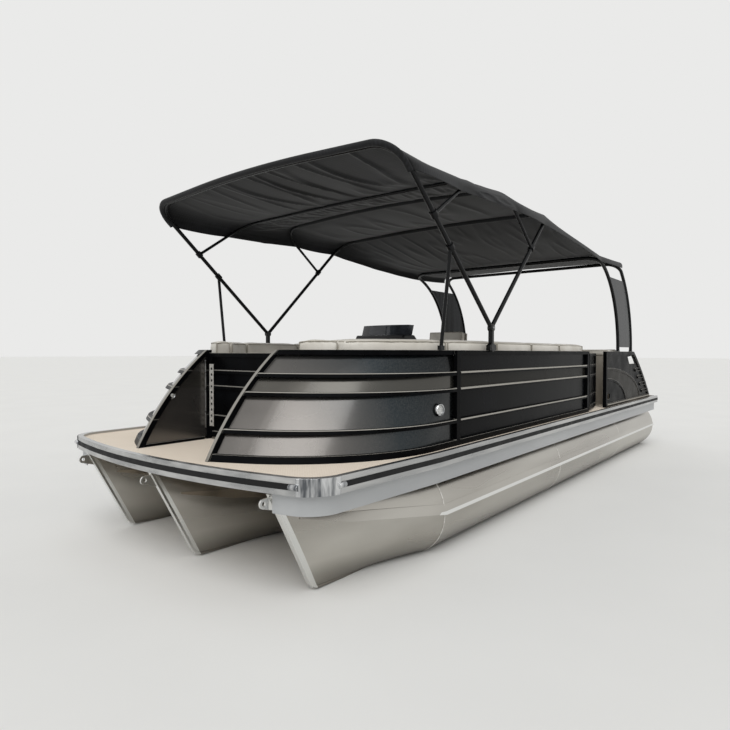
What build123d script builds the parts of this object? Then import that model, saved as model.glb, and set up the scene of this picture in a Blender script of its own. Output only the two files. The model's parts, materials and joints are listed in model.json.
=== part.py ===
from build123d import *
import os
from math import asin, cos, radians, sin, sqrt, tan

os.makedirs("parts", exist_ok=True)

# Frame: millimetres, +X to the bow, +Y to port, z = 0 at the waterline amidships
sides = (("port", 1), ("starboard", -1))
fit_gap = 0.3
hinge_gap = 1.0

# Deck and its rub rail
beam = 2590
bow_x = 3607
stern_x = -3600
bow_radius = 4700
corner_radius = 230
taper_start_x = 2400
bow_half_beam = beam / 2 - 62
deck_top = 680
deck_thick = 22
rub_width = 35
rub_low = 605
rub_high = 695
groove_low = 635
groove_high = 665
groove_depth = 10
insert_proud = 3
cap_out = 7
cap_aft_x = 3290
cap_inner_y = beam / 2 - 175
bullet_radius = 16
bullet_length = 46

# Pontoons: tubes, raked noses, stem bars and spray rails
tube_radius = 305
tube_z = 277
tube_aft_x = -3550
seam_x = 2270
outer_tube_y = beam / 2 - 355
centre_nose_forward = 86
stem_top = (3480, 596)
knuckle = (3172, 20)
stem_half_width = 12
nose_shoulder = 65
stem_bar_thick = 14
stem_bar_width = 30
stem_turn_radius = 90
eye_reach = 62
eye_z = 551
eye_radius = 26
eye_hole_radius = 11
eye_thick = 10
spray_out = 18
spray_root = 14
spray_rise = 12
riser_offset = 80
riser_thick = 12
riser_forward = 150
end_plate = 8

# Cross members under the deck
channel_width = 40
channel_height = 58
channel_wall = 5
channel_pitch = 406
channel_count = 17
channel_aft_x = -3440
channel_half_length = beam / 2 - 95

# Side skirts
skirt_low = 500
skirt_inset = 30
skirt_thick = 4

# Fence: rails on a raked curved bow post, skins behind the rails
fence_y = beam / 2 - 95
fence_front = 3439
fence_turn_radius = 1107
fence_turn_start = 25
fence_top = 1322
gate_half = 355
rail_depth = 28
skin_thick = 4
skin_low = 690
skin_high = 1300
post_width = 50
raked_post_width = 45
raked_post_thick = 25
middle_post_x = 2016
fence_run_out = 42
side_fence_end_x = -750
starboard_fence_end_x = -1331
post_bend_z = 1055
post_bend_back = 256
post_head_back = 537

# Each rail: height of its middle, its own height
fence_rails = (
    (700, 40),
    (845, 25),
    (1055, 25),
    (1165, 25),
    (1306, 32),
)

# Gates and their hinge barrels
gate_thick = 28
gate_low = 700
gate_high = 1300
gate_gap = 20
gate_free_gap = 12
gate_sheet = 4
gate_end_stile = 28
hinge_radius = 7
hinge_back = 8
hinge_pin = 3.5
hinge_low = 775
hinge_high = 1220
hinge_knuckles = 5
gate_post_width = 40
side_gate_ajar = 10

# Stern wings that carry the arch
wing_front_x = -1360
wing_top_aft_x = -2590
wing_knee = (-3000, 1080)
wing_foot_x = -3520
wing_outer_y = fence_y + 12
wing_depth = 38
wing_rim = 44
wing_sheet = 10
wing_band_depth = 24
wing_band_thick = 14
wing_band_centre_x = -1404
wing_low = deck_top
wing_sill = (-1499, 800, 110, 60)

# Wing bands: half length and height of each quarter ellipse, seen from the side
band_outer = (1560, 450)
band_inner = (860, 330)
band_edge = 26

# Wing window corners, and the louvre hoops: aft end, middle height, length, height
wing_window = ((-2330, 1255), (-2560, 1268), (-2700, 1165), (-2420, 1165))
wing_louvres = (
    (-2940, 1082, 250, 46),
    (-3120, 985, 300, 46),
    (-3270, 888, 330, 46),
    (-3390, 791, 340, 46),
)
louvre_rod = 7

# Canopy bows, in planes that hold the beam axis: tube radii and the shape across
bow_leg_y = fence_y + 8
main_tube = 16
brace_tube = 12.5
corner_bend = 200
crown_bend = 11000
crown_lift = 68
pivot = (1555, 1487)
head_radius = 25
front_bow_top = (2647, 2411)
rear_bow_top = (544, 2439)
bow_corner_reach = 145
front_joint_reach = 1050
rear_joint_reach = 1003
front_brace_top = (1970, 2427)
rear_brace_top = (1217, 2463)
slide_radius = 25
slide_length = 44
strut_foot_x = 2140
strut_reach = 780
strut_foot_high = 30
bracket_foot = (-52, 46)
bracket_base_high = 48
bracket_neck = 14
bracket_shoulder = 12
canopy_thick = 8
canopy_drop = 150
front_hem = 25
canopy_arch_drop = 75

# Arch: two hoops a side pair, curved forward from the wings
arch_tube = 19
arch_y = wing_outer_y - wing_depth / 2
arch_bend = 150
arch_foot_radius = 34
arch_foot_thick = 12
front_hoop_foot_x = -1890
front_hoop_top = (-1215, 2300)
rear_hoop_foot_x = -2485
rear_hoop_top = (-2000, 2290)
arch_plate_thick = 8
arch_plate_high = 2180

# Seating
seat_base_high = 970
seat_pad_high = 1095
pad_gap = 0.3
bolster_high = 1362
bolster_thick = 150
bolster_inset = 46
lounge_inner_y = 430
lounge_inset = 62
lounge_corner = 60
toe_kick = 70
toe_height = 90
port_lounge_aft_x = -700
starboard_lounge_aft_x = 700
lounger_front_x = -1800
lounger_aft_x = -3330
lounger_inner_y = 300
lounger_outer_y = fence_y - 70
lounger_back_high = 1270
lounger_pad = 110
lounger_cap = 150
slope_foot = (-2400, seat_base_high)
slope_head = (lounger_front_x - 170, lounger_back_high)

# Helm
console_front_x = 390
console_inner_y = -460
console_outer_y = -(fence_y - 70)
console_high = 1500
dash_front = (250, 1230)
dash_aft_x = 40
dash_lip = (-190, 1300, 1180)
console_kick = (-130, 1120)
screen_x = 240
screen_aft_x = 70
screen_bow = 60
screen_inset = 20
screen_thick = 8
screen_high = 120
screen_rake = 0.35
wheel_hub = (-262, -745, 1302)
wheel_rake = 35
wheel_radius = 175
wheel_rim = 13
column_radius = 22
chair_x = -960
chair_y = -745
pedestal_radius = 150
pedestal_post = 38
pedestal_high = 960
chair_half_width = 270
chair_floor = 60
chair_back_high = 1552
chair_back = (-190, -250)
chair_arm = (170, -230)
arm_thick = 28
arm_high = 290
chair_pad_front = 245
chair_pad_thick = 105

# Motor pod, brackets and outboard
pod_aft_x = -3840
pod_half_width = 190
pod_high = 600
tilt_x = -3875
tilt_z = 650
tilt_pin = 12
steer_x = -3970
steer_pin = 18
pin_gap = 0.05
swivel_radius = 48
swivel_low = 300
swivel_high = 640
clamp_thick = 14
clamp_inner_y = 92
clamp_low = 330
yoke_gap = 6
yoke_thick = 30
leg_front_x = -4045
leg_aft_x = -4300
cowl_low = 760
cowl_high = 1300
cowl_front_x = -3965
cowl_aft_x = -4560
cowl_half_width = 215
plate_z = -90
shaft_z = -300
propeller_x = -4385
propeller_radius = 180
hub_radius = 50
hub_length = 110
blade_count = 3

# Lamps
lamp_x = 2235
lamp_z = 935
lamp_radius = 34
lamp_thick = 14
lamp_seat = 0.1


def along(start, end):
    # Unit direction and distance from one flat point to another
    run, rise = end[0] - start[0], end[1] - start[1]
    length = sqrt(run**2 + rise**2)
    return run / length, rise / length, length


def deck_outline(inset):
    # Plan of the deck's edge, moved inwards by inset: bowed front, rounded corners, slight taper
    half = beam / 2
    with BuildSketch() as outline:
        with BuildLine():
            Polyline(
                (stern_x, half),
                (taper_start_x, half),
                (bow_x, bow_half_beam),
                (bow_x, -bow_half_beam),
                (taper_start_x, -half),
                (stern_x, -half),
                close=True,
            )
        make_face()
        with Locations((bow_x - bow_radius, 0)):
            Circle(bow_radius, mode=Mode.INTERSECT)
        fillet(outline.vertices().group_by(Axis.X)[-1], corner_radius)
        if inset != 0:
            offset(amount=-inset, kind=Kind.INTERSECTION, mode=Mode.REPLACE)
    return outline.sketch


def circle_through(first, second, third):
    # Centre and radius of the circle through three points of a side view
    ax, az = first
    bx, bz = second
    cx, cz = third
    turn = 2 * (ax * (bz - cz) + bx * (cz - az) + cx * (az - bz))
    a2, b2, c2 = ax**2 + az**2, bx**2 + bz**2, cx**2 + cz**2
    mid_x = (a2 * (bz - cz) + b2 * (cz - az) + c2 * (az - bz)) / turn
    mid_z = (a2 * (cx - bx) + b2 * (ax - cx) + c2 * (bx - ax)) / turn
    return mid_x, mid_z, sqrt((ax - mid_x) ** 2 + (az - mid_z) ** 2)


rake_x, rake_z, rake_radius = circle_through(
    (fence_front, deck_top),
    (fence_front - post_bend_back, post_bend_z),
    (fence_front - post_head_back, fence_top),
)


def rake_at(z):
    # How far aft of its foot the bow post's front edge stands at height z
    return fence_front - (rake_x + sqrt(rake_radius**2 - (z - rake_z) ** 2))


def rake_height(x):
    # Height at which the bow post's front edge passes x
    return rake_z + sqrt(rake_radius**2 - (x - rake_x) ** 2)


turn_start = radians(fence_turn_start)
fence_centre_y = fence_y - fence_turn_radius
fence_centre_x = (
    fence_front
    - fence_turn_radius * cos(turn_start)
    - (fence_centre_y + fence_turn_radius * sin(turn_start) - gate_half) * tan(turn_start)
)
fence_run_out_x = fence_centre_x - post_head_back - fence_run_out


def fence_line(setback, inset, end_y):
    # Plan of the bow fence at one height: gate end, start, middle and end of the turn
    turn = fence_turn_radius - inset
    x = fence_centre_x - setback
    start = (x + turn * cos(turn_start), fence_centre_y + turn * sin(turn_start))
    halfway = (turn_start + radians(90)) / 2
    middle = (x + turn * cos(halfway), fence_centre_y + turn * sin(halfway))
    end = (x, fence_centre_y + turn)
    gate = (start[0] + (start[1] - end_y) * tan(turn_start), end_y)
    return gate, start, middle, end


def fence_band(setback, near, far, end_y, aft_x):
    # Strip of the bow fence's plan between two insets, for rails, skins and bolsters
    outer = fence_line(setback, near, end_y)
    inner = fence_line(setback, far, end_y)
    with BuildSketch() as band:
        with BuildLine():
            Line(outer[0], outer[1])
            ThreePointArc(outer[1], outer[2], outer[3])
            Line(outer[3], (aft_x, fence_y - near))
            Line((aft_x, fence_y - near), (aft_x, fence_y - far))
            Line((aft_x, fence_y - far), inner[3])
            ThreePointArc(inner[3], inner[2], inner[1])
            Line(inner[1], inner[0])
            Line(inner[0], outer[0])
        make_face()
    return band.sketch


def lounge_plan(setback, inset, inner_y, aft_x):
    # Plan of a bow lounge that follows the fence
    gate, start, middle, end = fence_line(setback, inset, inner_y)
    with BuildSketch() as plan:
        with BuildLine():
            Line(gate, start)
            ThreePointArc(start, middle, end)
            Line(end, (aft_x, end[1]))
            Line((aft_x, end[1]), (aft_x, inner_y))
            Line((aft_x, inner_y), gate)
        make_face()
    return plan.sketch


def fence_edge_y(x, setback):
    # Outer face of the fence at x, on the turn or on the straight
    reach = x - (fence_centre_x - setback)
    if reach < 0:
        return fence_y
    return fence_centre_y + sqrt(fence_turn_radius**2 - reach**2)


# Pontoons
stem_mid = ((stem_top[0] + knuckle[0]) / 2, (stem_top[1] + knuckle[1]) / 2)
stem_length = sqrt((stem_top[0] - knuckle[0]) ** 2 + (stem_top[1] - knuckle[1]) ** 2)
stem_run = (stem_top[0] - knuckle[0]) / stem_length
stem_rise = (stem_top[1] - knuckle[1]) / stem_length
stem_half = stem_length / 2 - stem_half_width


def stem_x(z):
    return knuckle[0] + (z - knuckle[1]) * stem_run / stem_rise


def nose_point(angle, share):
    # Point on the nose's side: share 0 on the tube seam, 1 on the stem
    turn = radians(angle)
    along = stem_half * angle / nose_shoulder
    seam = (seam_x, tube_radius * cos(turn), tube_z + tube_radius * sin(turn))
    stem = (stem_mid[0] + along * stem_run, stem_half_width, stem_mid[1] + along * stem_rise)
    return tuple(a + (b - a) * share for a, b in zip(seam, stem))


# Spray rail on the nose: angle round the section, share of the way to the stem, width, rise
nose_spray = (
    (0, 0.0, spray_out, spray_rise),
    (13.5, 0.65, spray_out, spray_rise),
    (29, 0.915, 4, 3),
)

# Pontoon: name, distance off the centreline, extra length forward
pontoons = (
    ("port", outer_tube_y, 0),
    ("centre", 0, centre_nose_forward),
    ("starboard", -outer_tube_y, 0),
)
for name, y0, forward in pontoons:
    with BuildPart() as pontoon:
        with BuildSketch(Plane.YZ.offset(tube_aft_x)):
            with Locations((y0, tube_z)):
                Circle(tube_radius)
        extrude(amount=seam_x + forward - tube_aft_x)
        with BuildPart(mode=Mode.PRIVATE) as nose:
            with BuildSketch(Plane.YZ.offset(seam_x + forward)):
                with BuildLine():
                    for start, size in (
                        (-nose_shoulder, 2 * nose_shoulder),
                        (nose_shoulder, 180 - 2 * nose_shoulder),
                        (180 - nose_shoulder, 2 * nose_shoulder),
                        (180 + nose_shoulder, 180 - 2 * nose_shoulder),
                    ):
                        CenterArc((y0, tube_z), tube_radius, start, size)
                make_face()
            stem_plane = Plane(
                origin=(stem_mid[0] + forward, y0, stem_mid[1]),
                x_dir=(0, 1, 0),
                z_dir=(stem_rise, 0, -stem_run),
            )
            with BuildSketch(stem_plane):
                SlotOverall(stem_length, 2 * stem_half_width, rotation=90)
            loft(ruled=True)
        add(nose.part)
        with BuildSketch(Plane.XZ.offset(-y0)):
            with BuildLine():
                FilletPolyline(
                    (stem_top[0] + forward, stem_top[1]),
                    (knuckle[0] + forward, knuckle[1]),
                    (seam_x + forward, tube_z - tube_radius),
                    radius=stem_turn_radius,
                )
            trace(line_width=stem_bar_thick)
        extrude(amount=stem_bar_width / 2, both=True)
        eye_x = stem_x(eye_z) + eye_reach + forward
        with BuildSketch(Plane.XZ.offset(-y0)):
            with Locations((eye_x, eye_z)):
                Circle(eye_radius)
            with BuildLine():
                Polyline(
                    (eye_x, eye_z + eye_radius),
                    (stem_x(eye_z + eye_radius) + forward, eye_z + eye_radius),
                    (stem_x(eye_z - 2 * eye_radius) + forward, eye_z - 2 * eye_radius),
                    (eye_x, eye_z - eye_radius),
                    close=True,
                )
            make_face()
            with Locations((eye_x, eye_z)):
                Circle(eye_hole_radius, mode=Mode.SUBTRACT)
        extrude(amount=eye_thick / 2, both=True)
        for hand in (1, -1):
            low, high = tube_z, tube_z + tube_radius * sin(radians(spray_rise))
            root = tube_radius * cos(radians(spray_rise))
            with BuildSketch(Plane.YZ.offset(tube_aft_x + 2 * end_plate)):
                with BuildLine():
                    Polyline(
                        (y0 + hand * (tube_radius - spray_root), low),
                        (y0 + hand * (tube_radius + spray_out), low),
                        (y0 + hand * (root + 1), high),
                        (y0 + hand * (root - spray_root), high),
                        close=True,
                    )
                make_face()
            extrude(amount=seam_x + forward - tube_aft_x - 2 * end_plate)
            with BuildPart(mode=Mode.PRIVATE) as spray:
                for angle, share, out, rise in nose_spray:
                    x, foot_y, foot_z = nose_point(angle, share)
                    head_y, head_z = nose_point(angle + rise, share)[1:]
                    with BuildSketch(Plane.YZ.offset(x + forward)):
                        with BuildLine():
                            Polyline(
                                (y0 + hand * (foot_y - spray_root), foot_z),
                                (y0 + hand * (foot_y + out), foot_z),
                                (y0 + hand * (head_y + 1), head_z),
                                (y0 + hand * (head_y - spray_root), head_z),
                                close=True,
                            )
                        make_face()
                loft(ruled=True)
            add(spray.part)
        for hand in (1, -1):
            riser_low = tube_z + sqrt(tube_radius**2 - riser_offset**2) - riser_thick
            riser_high = deck_top - deck_thick - channel_height
            riser_length = seam_x + riser_forward - tube_aft_x - end_plate
            with BuildSketch(Plane.XY.offset(riser_low)):
                with Locations((tube_aft_x + end_plate + riser_length / 2, y0 + hand * riser_offset)):
                    Rectangle(riser_length, riser_thick)
            extrude(amount=riser_high - riser_low)
    pontoon.part.label = f"pontoon_{name}"
    export_step(pontoon.part, f"parts/pontoon_{name}.step")

# Cross members: open channels that lie on the risers and carry the deck
with BuildPart() as cross_members:
    with BuildSketch(Plane.XZ.offset(-channel_half_length)):
        for row in range(channel_count):
            x = channel_aft_x + row * channel_pitch
            z = deck_top - deck_thick - channel_height / 2
            with Locations((x, z)):
                Rectangle(channel_width, channel_height)
            with Locations((x + channel_wall, z)):
                Rectangle(
                    channel_width, channel_height - 2 * channel_wall, mode=Mode.SUBTRACT
                )
    extrude(amount=2 * channel_half_length)
cross_members.part.label = "cross_members"
export_step(cross_members.part, "parts/cross_members.step")

# Deck panel
with BuildPart() as deck:
    with BuildSketch(Plane.XY.offset(deck_top - deck_thick)):
        add(deck_outline(rub_width + fit_gap))
    extrude(amount=deck_thick)
deck.part.label = "deck"
export_step(deck.part, "parts/deck.step")

# Rub rail with its groove, and the rubber insert in the groove
with BuildPart() as rub_rail:
    with BuildSketch(Plane.XY.offset(rub_low)):
        add(deck_outline(0))
        add(deck_outline(rub_width), mode=Mode.SUBTRACT)
    extrude(amount=rub_high - rub_low)
    with BuildSketch(Plane.XY.offset(groove_low)):
        add(deck_outline(-1))
        add(deck_outline(groove_depth), mode=Mode.SUBTRACT)
    extrude(amount=groove_high - groove_low, mode=Mode.SUBTRACT)
rub_rail.part.label = "rub_rail"
export_step(rub_rail.part, "parts/rub_rail.step")

with BuildPart() as rub_insert:
    with BuildSketch(Plane.XY.offset(groove_low + fit_gap)):
        add(deck_outline(-insert_proud))
        add(deck_outline(groove_depth - fit_gap), mode=Mode.SUBTRACT)
    extrude(amount=groove_high - groove_low - 2 * fit_gap)
rub_insert.part.label = "rub_insert"
export_step(rub_insert.part, "parts/rub_insert.step")

# Chrome caps round both bow corners, with a bullet over the insert at each end
bullet_z = (groove_low + groove_high) / 2
cap_share = (cap_aft_x - taper_start_x) / (bow_x - taper_start_x)
cap_side_y = beam / 2 + (bow_half_beam - beam / 2) * cap_share
cap_front_x = bow_x - bow_radius + sqrt(bow_radius**2 - cap_inner_y**2)
cap_ends = (
    ((cap_aft_x, cap_side_y), along((bow_x, bow_half_beam), (taper_start_x, beam / 2))),
    (
        (cap_front_x, cap_inner_y),
        along((0, 0), (cap_inner_y, -sqrt(bow_radius**2 - cap_inner_y**2))),
    ),
)
with BuildPart() as corner_caps:
    for name, hand in sides:
        with BuildSketch(Plane.XY.offset(rub_low + fit_gap)):
            add(deck_outline(-cap_out))
            add(deck_outline(-insert_proud - fit_gap), mode=Mode.SUBTRACT)
            with Locations((cap_aft_x + corner_radius, hand * (cap_inner_y + corner_radius))):
                Rectangle(2 * corner_radius, 2 * corner_radius, mode=Mode.INTERSECT)
        extrude(amount=rub_high - rub_low - 2 * fit_gap)
        for end, (run, rise, length) in cap_ends:
            bullet_way = Vector(run, hand * rise, 0)
            bullet_foot = Vector(end[0], hand * end[1], bullet_z) - bullet_way * bullet_radius
            with BuildSketch(Plane(bullet_foot, z_dir=bullet_way)):
                Circle(bullet_radius)
            extrude(amount=bullet_length)
            with Locations(bullet_foot + bullet_way * bullet_length):
                Sphere(bullet_radius)
    with BuildSketch(Plane.XY.offset(rub_low)):
        add(deck_outline(-insert_proud - fit_gap))
    extrude(amount=rub_high - rub_low, mode=Mode.SUBTRACT)
corner_caps.part.label = "corner_caps"
export_step(corner_caps.part, "parts/corner_caps.step")

# Side skirts hang from the rub rail and end at the outer stems
with BuildPart() as side_skirts:
    for name, hand in sides:
        skirt_inner_y = outer_tube_y + stem_bar_width / 2 + 6
        skirt_length = bow_x - stern_x - 2 * rub_width
        with BuildSketch(Plane.XY.offset(skirt_low)):
            add(deck_outline(skirt_inset))
            add(deck_outline(skirt_inset + skirt_thick), mode=Mode.SUBTRACT)
            with Locations(((bow_x + stern_x) / 2 + rub_width, hand * (skirt_inner_y + beam / 4))):
                Rectangle(skirt_length, beam / 2, mode=Mode.INTERSECT)
        extrude(amount=rub_low - fit_gap - skirt_low)
side_skirts.part.label = "side_skirts"
export_step(side_skirts.part, "parts/side_skirts.step")

# Bow fence: rails lofted along the raked curve, raked post, gate post and middle post
gate_post_x = fence_front - post_head_back
with BuildPart() as bow_fence:
    for level, height in fence_rails:
        with BuildPart(mode=Mode.PRIVATE) as rail:
            for z in (level - height / 2, level + height / 2):
                with BuildSketch(Plane.XY.offset(z)):
                    add(fence_band(rake_at(z), 0, rail_depth, gate_half, fence_run_out_x))
            loft(ruled=True)
        add(rail.part)
    split(bisect_by=Plane.YZ.offset(middle_post_x), keep=Keep.TOP)
    with BuildSketch(Plane.XZ.offset(-gate_half)):
        bend_x = fence_front - post_bend_back
        with BuildLine():
            ThreePointArc((fence_front, deck_top), (bend_x, post_bend_z), (gate_post_x, fence_top))
            Line((gate_post_x, fence_top), (gate_post_x - raked_post_width, fence_top))
            ThreePointArc(
                (gate_post_x - raked_post_width, fence_top),
                (bend_x - raked_post_width, post_bend_z),
                (fence_front - raked_post_width, deck_top),
            )
            Line((fence_front - raked_post_width, deck_top), (fence_front, deck_top))
        make_face()
    extrude(amount=-raked_post_thick)
    with BuildSketch(Plane.XY.offset(deck_top)):
        with Locations((gate_post_x - gate_post_width / 2, gate_half + raked_post_thick / 2)):
            Rectangle(gate_post_width, raked_post_thick)
        with Locations((middle_post_x, fence_y - rail_depth / 2)):
            Rectangle(post_width, rail_depth)
    extrude(amount=fence_top - deck_top)
    with BuildSketch(Plane.XY.offset(deck_top)):
        with Locations(((gate_post_x + fence_front) / 2, gate_half + raked_post_thick / 2)):
            Rectangle(fence_front - gate_post_x - raked_post_width, raked_post_thick)
    extrude(amount=fence_rails[0][1] / 2)

# Skin behind the bow rails, and the flat wall beside the gate
with BuildPart() as bow_skin:
    for z in (skin_low, *(level for level, height in fence_rails[1:-1]), skin_high):
        with BuildSketch(Plane.XY.offset(z)):
            add(
                fence_band(
                    rake_at(z),
                    rail_depth + fit_gap,
                    rail_depth + fit_gap + skin_thick,
                    gate_half + raked_post_thick + fit_gap,
                    fence_run_out_x,
                )
            )
    loft(ruled=True)
    split(bisect_by=Plane.YZ.offset(middle_post_x + 1), keep=Keep.TOP)
wall_low = deck_top + fence_rails[0][1] / 2 + fit_gap
wall_aft_x = gate_post_x + fit_gap
wall_back = raked_post_width + fit_gap
wall_head_z = rake_height(wall_aft_x + wall_back)
with BuildPart() as gate_wall:
    with BuildSketch(Plane.XZ.offset(-gate_half - raked_post_thick / 3)):
        wall_middle_z = (wall_low + wall_head_z) / 2
        with BuildLine():
            Line((wall_aft_x, wall_low), (fence_front - rake_at(wall_low) - wall_back, wall_low))
            ThreePointArc(
                (fence_front - rake_at(wall_low) - wall_back, wall_low),
                (fence_front - rake_at(wall_middle_z) - wall_back, wall_middle_z),
                (wall_aft_x, wall_head_z),
            )
            Line((wall_aft_x, wall_head_z), (wall_aft_x, wall_low))
        make_face()
    extrude(amount=-skin_thick)

# Hinge barrels: even ones belong to the post, odd ones to the gate
barrel_step = (hinge_high - hinge_low) / hinge_knuckles
bow_hinge = (gate_post_x - gate_post_width + 4 - hinge_back, -gate_half + gate_gap / 2)
side_hinge = (
    side_fence_end_x - post_width / 2 - gate_gap / 2,
    fence_y - rail_depth - hinge_back,
)


def hinge_barrels(axis, first, leaf_x, leaf_y):
    # Barrels on one hinge axis from number first in steps of two, each with a leaf to its side;
    # the fixed set carries the pin and the moving set is bored to turn on it
    fixed = first == 0
    with BuildPart() as barrels:
        for number in range(first, hinge_knuckles, 2):
            low = hinge_low + number * barrel_step + hinge_gap / 2
            with BuildSketch(Plane.XY.offset(low)):
                with Locations(axis):
                    Circle(hinge_radius)
                with Locations((axis[0] + leaf_x / 2, axis[1] + leaf_y / 2)):
                    Rectangle(abs(leaf_x), abs(leaf_y))
            extrude(amount=barrel_step - hinge_gap)
        with BuildSketch(Plane.XY.offset(hinge_low)):
            with Locations(axis):
                Circle(hinge_pin if fixed else hinge_pin + pin_gap)
        extrude(amount=hinge_high - hinge_low, mode=Mode.ADD if fixed else Mode.SUBTRACT)
    return barrels.part


bow_fence_starboard = mirror(bow_fence.part, about=Plane.XZ)
bow_fence_starboard += hinge_barrels(bow_hinge, 0, hinge_back + 2, -gate_gap)
for name, fence in (("port", bow_fence.part), ("starboard", bow_fence_starboard)):
    fence.label = f"bow_fence_{name}"
    export_step(fence, f"parts/bow_fence_{name}.step")
bow_skin_port = bow_skin.part + gate_wall.part
for name, skin in (("port", bow_skin_port), ("starboard", mirror(bow_skin_port, about=Plane.XZ))):
    skin.label = f"bow_skin_{name}"
    export_step(skin, f"parts/bow_skin_{name}.step")

# Side fences run aft from the middle post; to starboard there is no boarding gate
for name, hand in sides:
    end_x = side_fence_end_x if hand > 0 else starboard_fence_end_x
    rail_y = hand * (fence_y - rail_depth / 2)
    front_x = middle_post_x - post_width / 2
    with BuildPart() as side_fence:
        for level, height in fence_rails:
            with BuildSketch(Plane.XY.offset(level - height / 2)):
                with Locations(((front_x + end_x) / 2, rail_y)):
                    Rectangle(front_x - end_x, rail_depth)
            extrude(amount=height)
        with BuildSketch(Plane.XY.offset(deck_top)):
            with Locations((end_x, rail_y)):
                Rectangle(post_width, rail_depth)
        extrude(amount=fence_top - deck_top)
        if hand > 0:
            add(hinge_barrels(side_hinge, 0, gate_gap, hinge_back + 2))
    side_fence.part.label = f"side_fence_{name}"
    export_step(side_fence.part, f"parts/side_fence_{name}.step")

    with BuildPart() as side_skin:
        with BuildSketch(Plane.XY.offset(skin_low)):
            skin_y = hand * (fence_y - rail_depth - fit_gap - skin_thick / 2)
            with Locations(((middle_post_x - 1 + end_x) / 2, skin_y)):
                Rectangle(middle_post_x - 1 - end_x, skin_thick)
        extrude(amount=skin_high - skin_low)
    side_skin.part.label = f"side_skin_{name}"
    export_step(side_skin.part, f"parts/side_skin_{name}.step")


def gate_leaf(length):
    # Gate in its own frame: hinge edge at x = 0, length along +X, its faces at y = 0 and thick
    with BuildPart() as leaf:
        with BuildSketch(Plane.XY.offset(gate_low)):
            with Locations((length / 2, gate_thick / 2)):
                Rectangle(length, gate_sheet)
            for x in (gate_end_stile / 2, length - gate_end_stile / 2):
                with Locations((x, gate_thick / 2)):
                    Rectangle(gate_end_stile, gate_thick)
        extrude(amount=gate_high - gate_low)
        top_rail = gate_high - fence_rails[-1][1] / 2
        for level, height in ((gate_low + fence_rails[0][1] / 2, fence_rails[0][1]),) + fence_rails[1:-1] + (
            (top_rail, fence_rails[-1][1]),
        ):
            with BuildSketch(Plane.XY.offset(level - height / 2)):
                with Locations((length / 2, gate_thick / 2)):
                    Rectangle(length, gate_thick)
            extrude(amount=height)
    return leaf.part


# Bow gate: hinged on the starboard gate post, swings aft into the boat
bow_gate_length = 2 * gate_half - gate_gap - gate_free_gap
bow_gate_plane = Plane(
    origin=(bow_hinge[0] + hinge_back, bow_hinge[1] + gate_gap / 2, 0),
    x_dir=(0, 1, 0),
    z_dir=(0, 0, 1),
)
bow_gate = mirror(gate_leaf(bow_gate_length), about=Plane.XZ).moved(bow_gate_plane.location)
bow_gate += hinge_barrels(bow_hinge, 1, hinge_back + 2, gate_gap / 2 + 2)
bow_gate.label = "bow_gate"
export_step(bow_gate, "parts/bow_gate.step")

# Boarding gate on the port side: stands a little ajar, swings inboard
side_gate_length = side_fence_end_x - post_width / 2 - wing_front_x - gate_gap - gate_free_gap
side_gate_shut = mirror(gate_leaf(side_gate_length), about=Plane.YZ).moved(
    Location((side_hinge[0] - gate_gap / 2, side_hinge[1] + hinge_back, 0))
)
side_gate_shut += hinge_barrels(side_hinge, 1, -(gate_gap / 2 + 2), hinge_back + 2)
side_gate = side_gate_shut.rotate(Axis((*side_hinge, 0), (0, 0, 1)), side_gate_ajar)
side_gate.label = "side_gate"
export_step(side_gate, "parts/side_gate.step")

# Stern wings: sheet with windows, rim, two quarter-ellipse bands and louvre hoops


def wing_outline():
    with BuildSketch() as outline:
        with BuildLine():
            Line((wing_front_x, wing_low), (wing_front_x, fence_top))
            Line((wing_front_x, fence_top), (wing_top_aft_x, fence_top))
            ThreePointArc((wing_top_aft_x, fence_top), wing_knee, (wing_foot_x, wing_low))
            Line((wing_foot_x, wing_low), (wing_front_x, wing_low))
        make_face()
    return outline.sketch


def quarter_ellipse(reach, height):
    # Quarter ellipse aft of the wing's front post, standing on the deck
    with BuildSketch() as quarter:
        with Locations((wing_band_centre_x, wing_low)):
            Ellipse(reach, height)
        with Locations((wing_band_centre_x - reach / 2, wing_low + height / 2)):
            Rectangle(reach, height, mode=Mode.INTERSECT)
    return quarter.sketch


with BuildPart() as stern_wing:
    wing_mid = Plane.XZ.offset(-(wing_outer_y - wing_depth / 2))
    with BuildSketch(wing_mid):
        add(wing_outline())
        with BuildSketch(mode=Mode.SUBTRACT):
            add(wing_outline())
            offset(amount=-wing_rim, kind=Kind.INTERSECTION, mode=Mode.REPLACE)
    extrude(amount=wing_depth / 2, both=True)
    with BuildSketch(wing_mid):
        add(wing_outline())
        with BuildSketch(mode=Mode.SUBTRACT):
            Polygon(*wing_window, align=None)
            with Locations(wing_sill[:2]):
                Rectangle(*wing_sill[2:])
    extrude(amount=wing_sheet / 2, both=True)
    with BuildSketch(wing_mid):
        add(quarter_ellipse(*band_outer))
        add(quarter_ellipse(*band_inner), mode=Mode.SUBTRACT)
    extrude(amount=wing_band_thick / 2, both=True)
    for reach, height in (band_outer, band_inner):
        with BuildSketch(wing_mid):
            add(quarter_ellipse(reach, height))
            add(quarter_ellipse(reach - band_edge, height - band_edge), mode=Mode.SUBTRACT)
        extrude(amount=wing_band_depth / 2, both=True)
    for aft_x, level, length, height in wing_louvres:
        with BuildSketch(wing_mid):
            with Locations((aft_x + length / 2, level)):
                SlotOverall(length, height)
                SlotOverall(length - 2 * louvre_rod, height - 2 * louvre_rod, mode=Mode.SUBTRACT)
        extrude(amount=wing_depth / 2, both=True)
for name, wing in (
    ("port", stern_wing.part),
    ("starboard", mirror(stern_wing.part, about=Plane.XZ)),
):
    wing.label = f"stern_wing_{name}"
    export_step(wing, f"parts/stern_wing_{name}.step")


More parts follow.
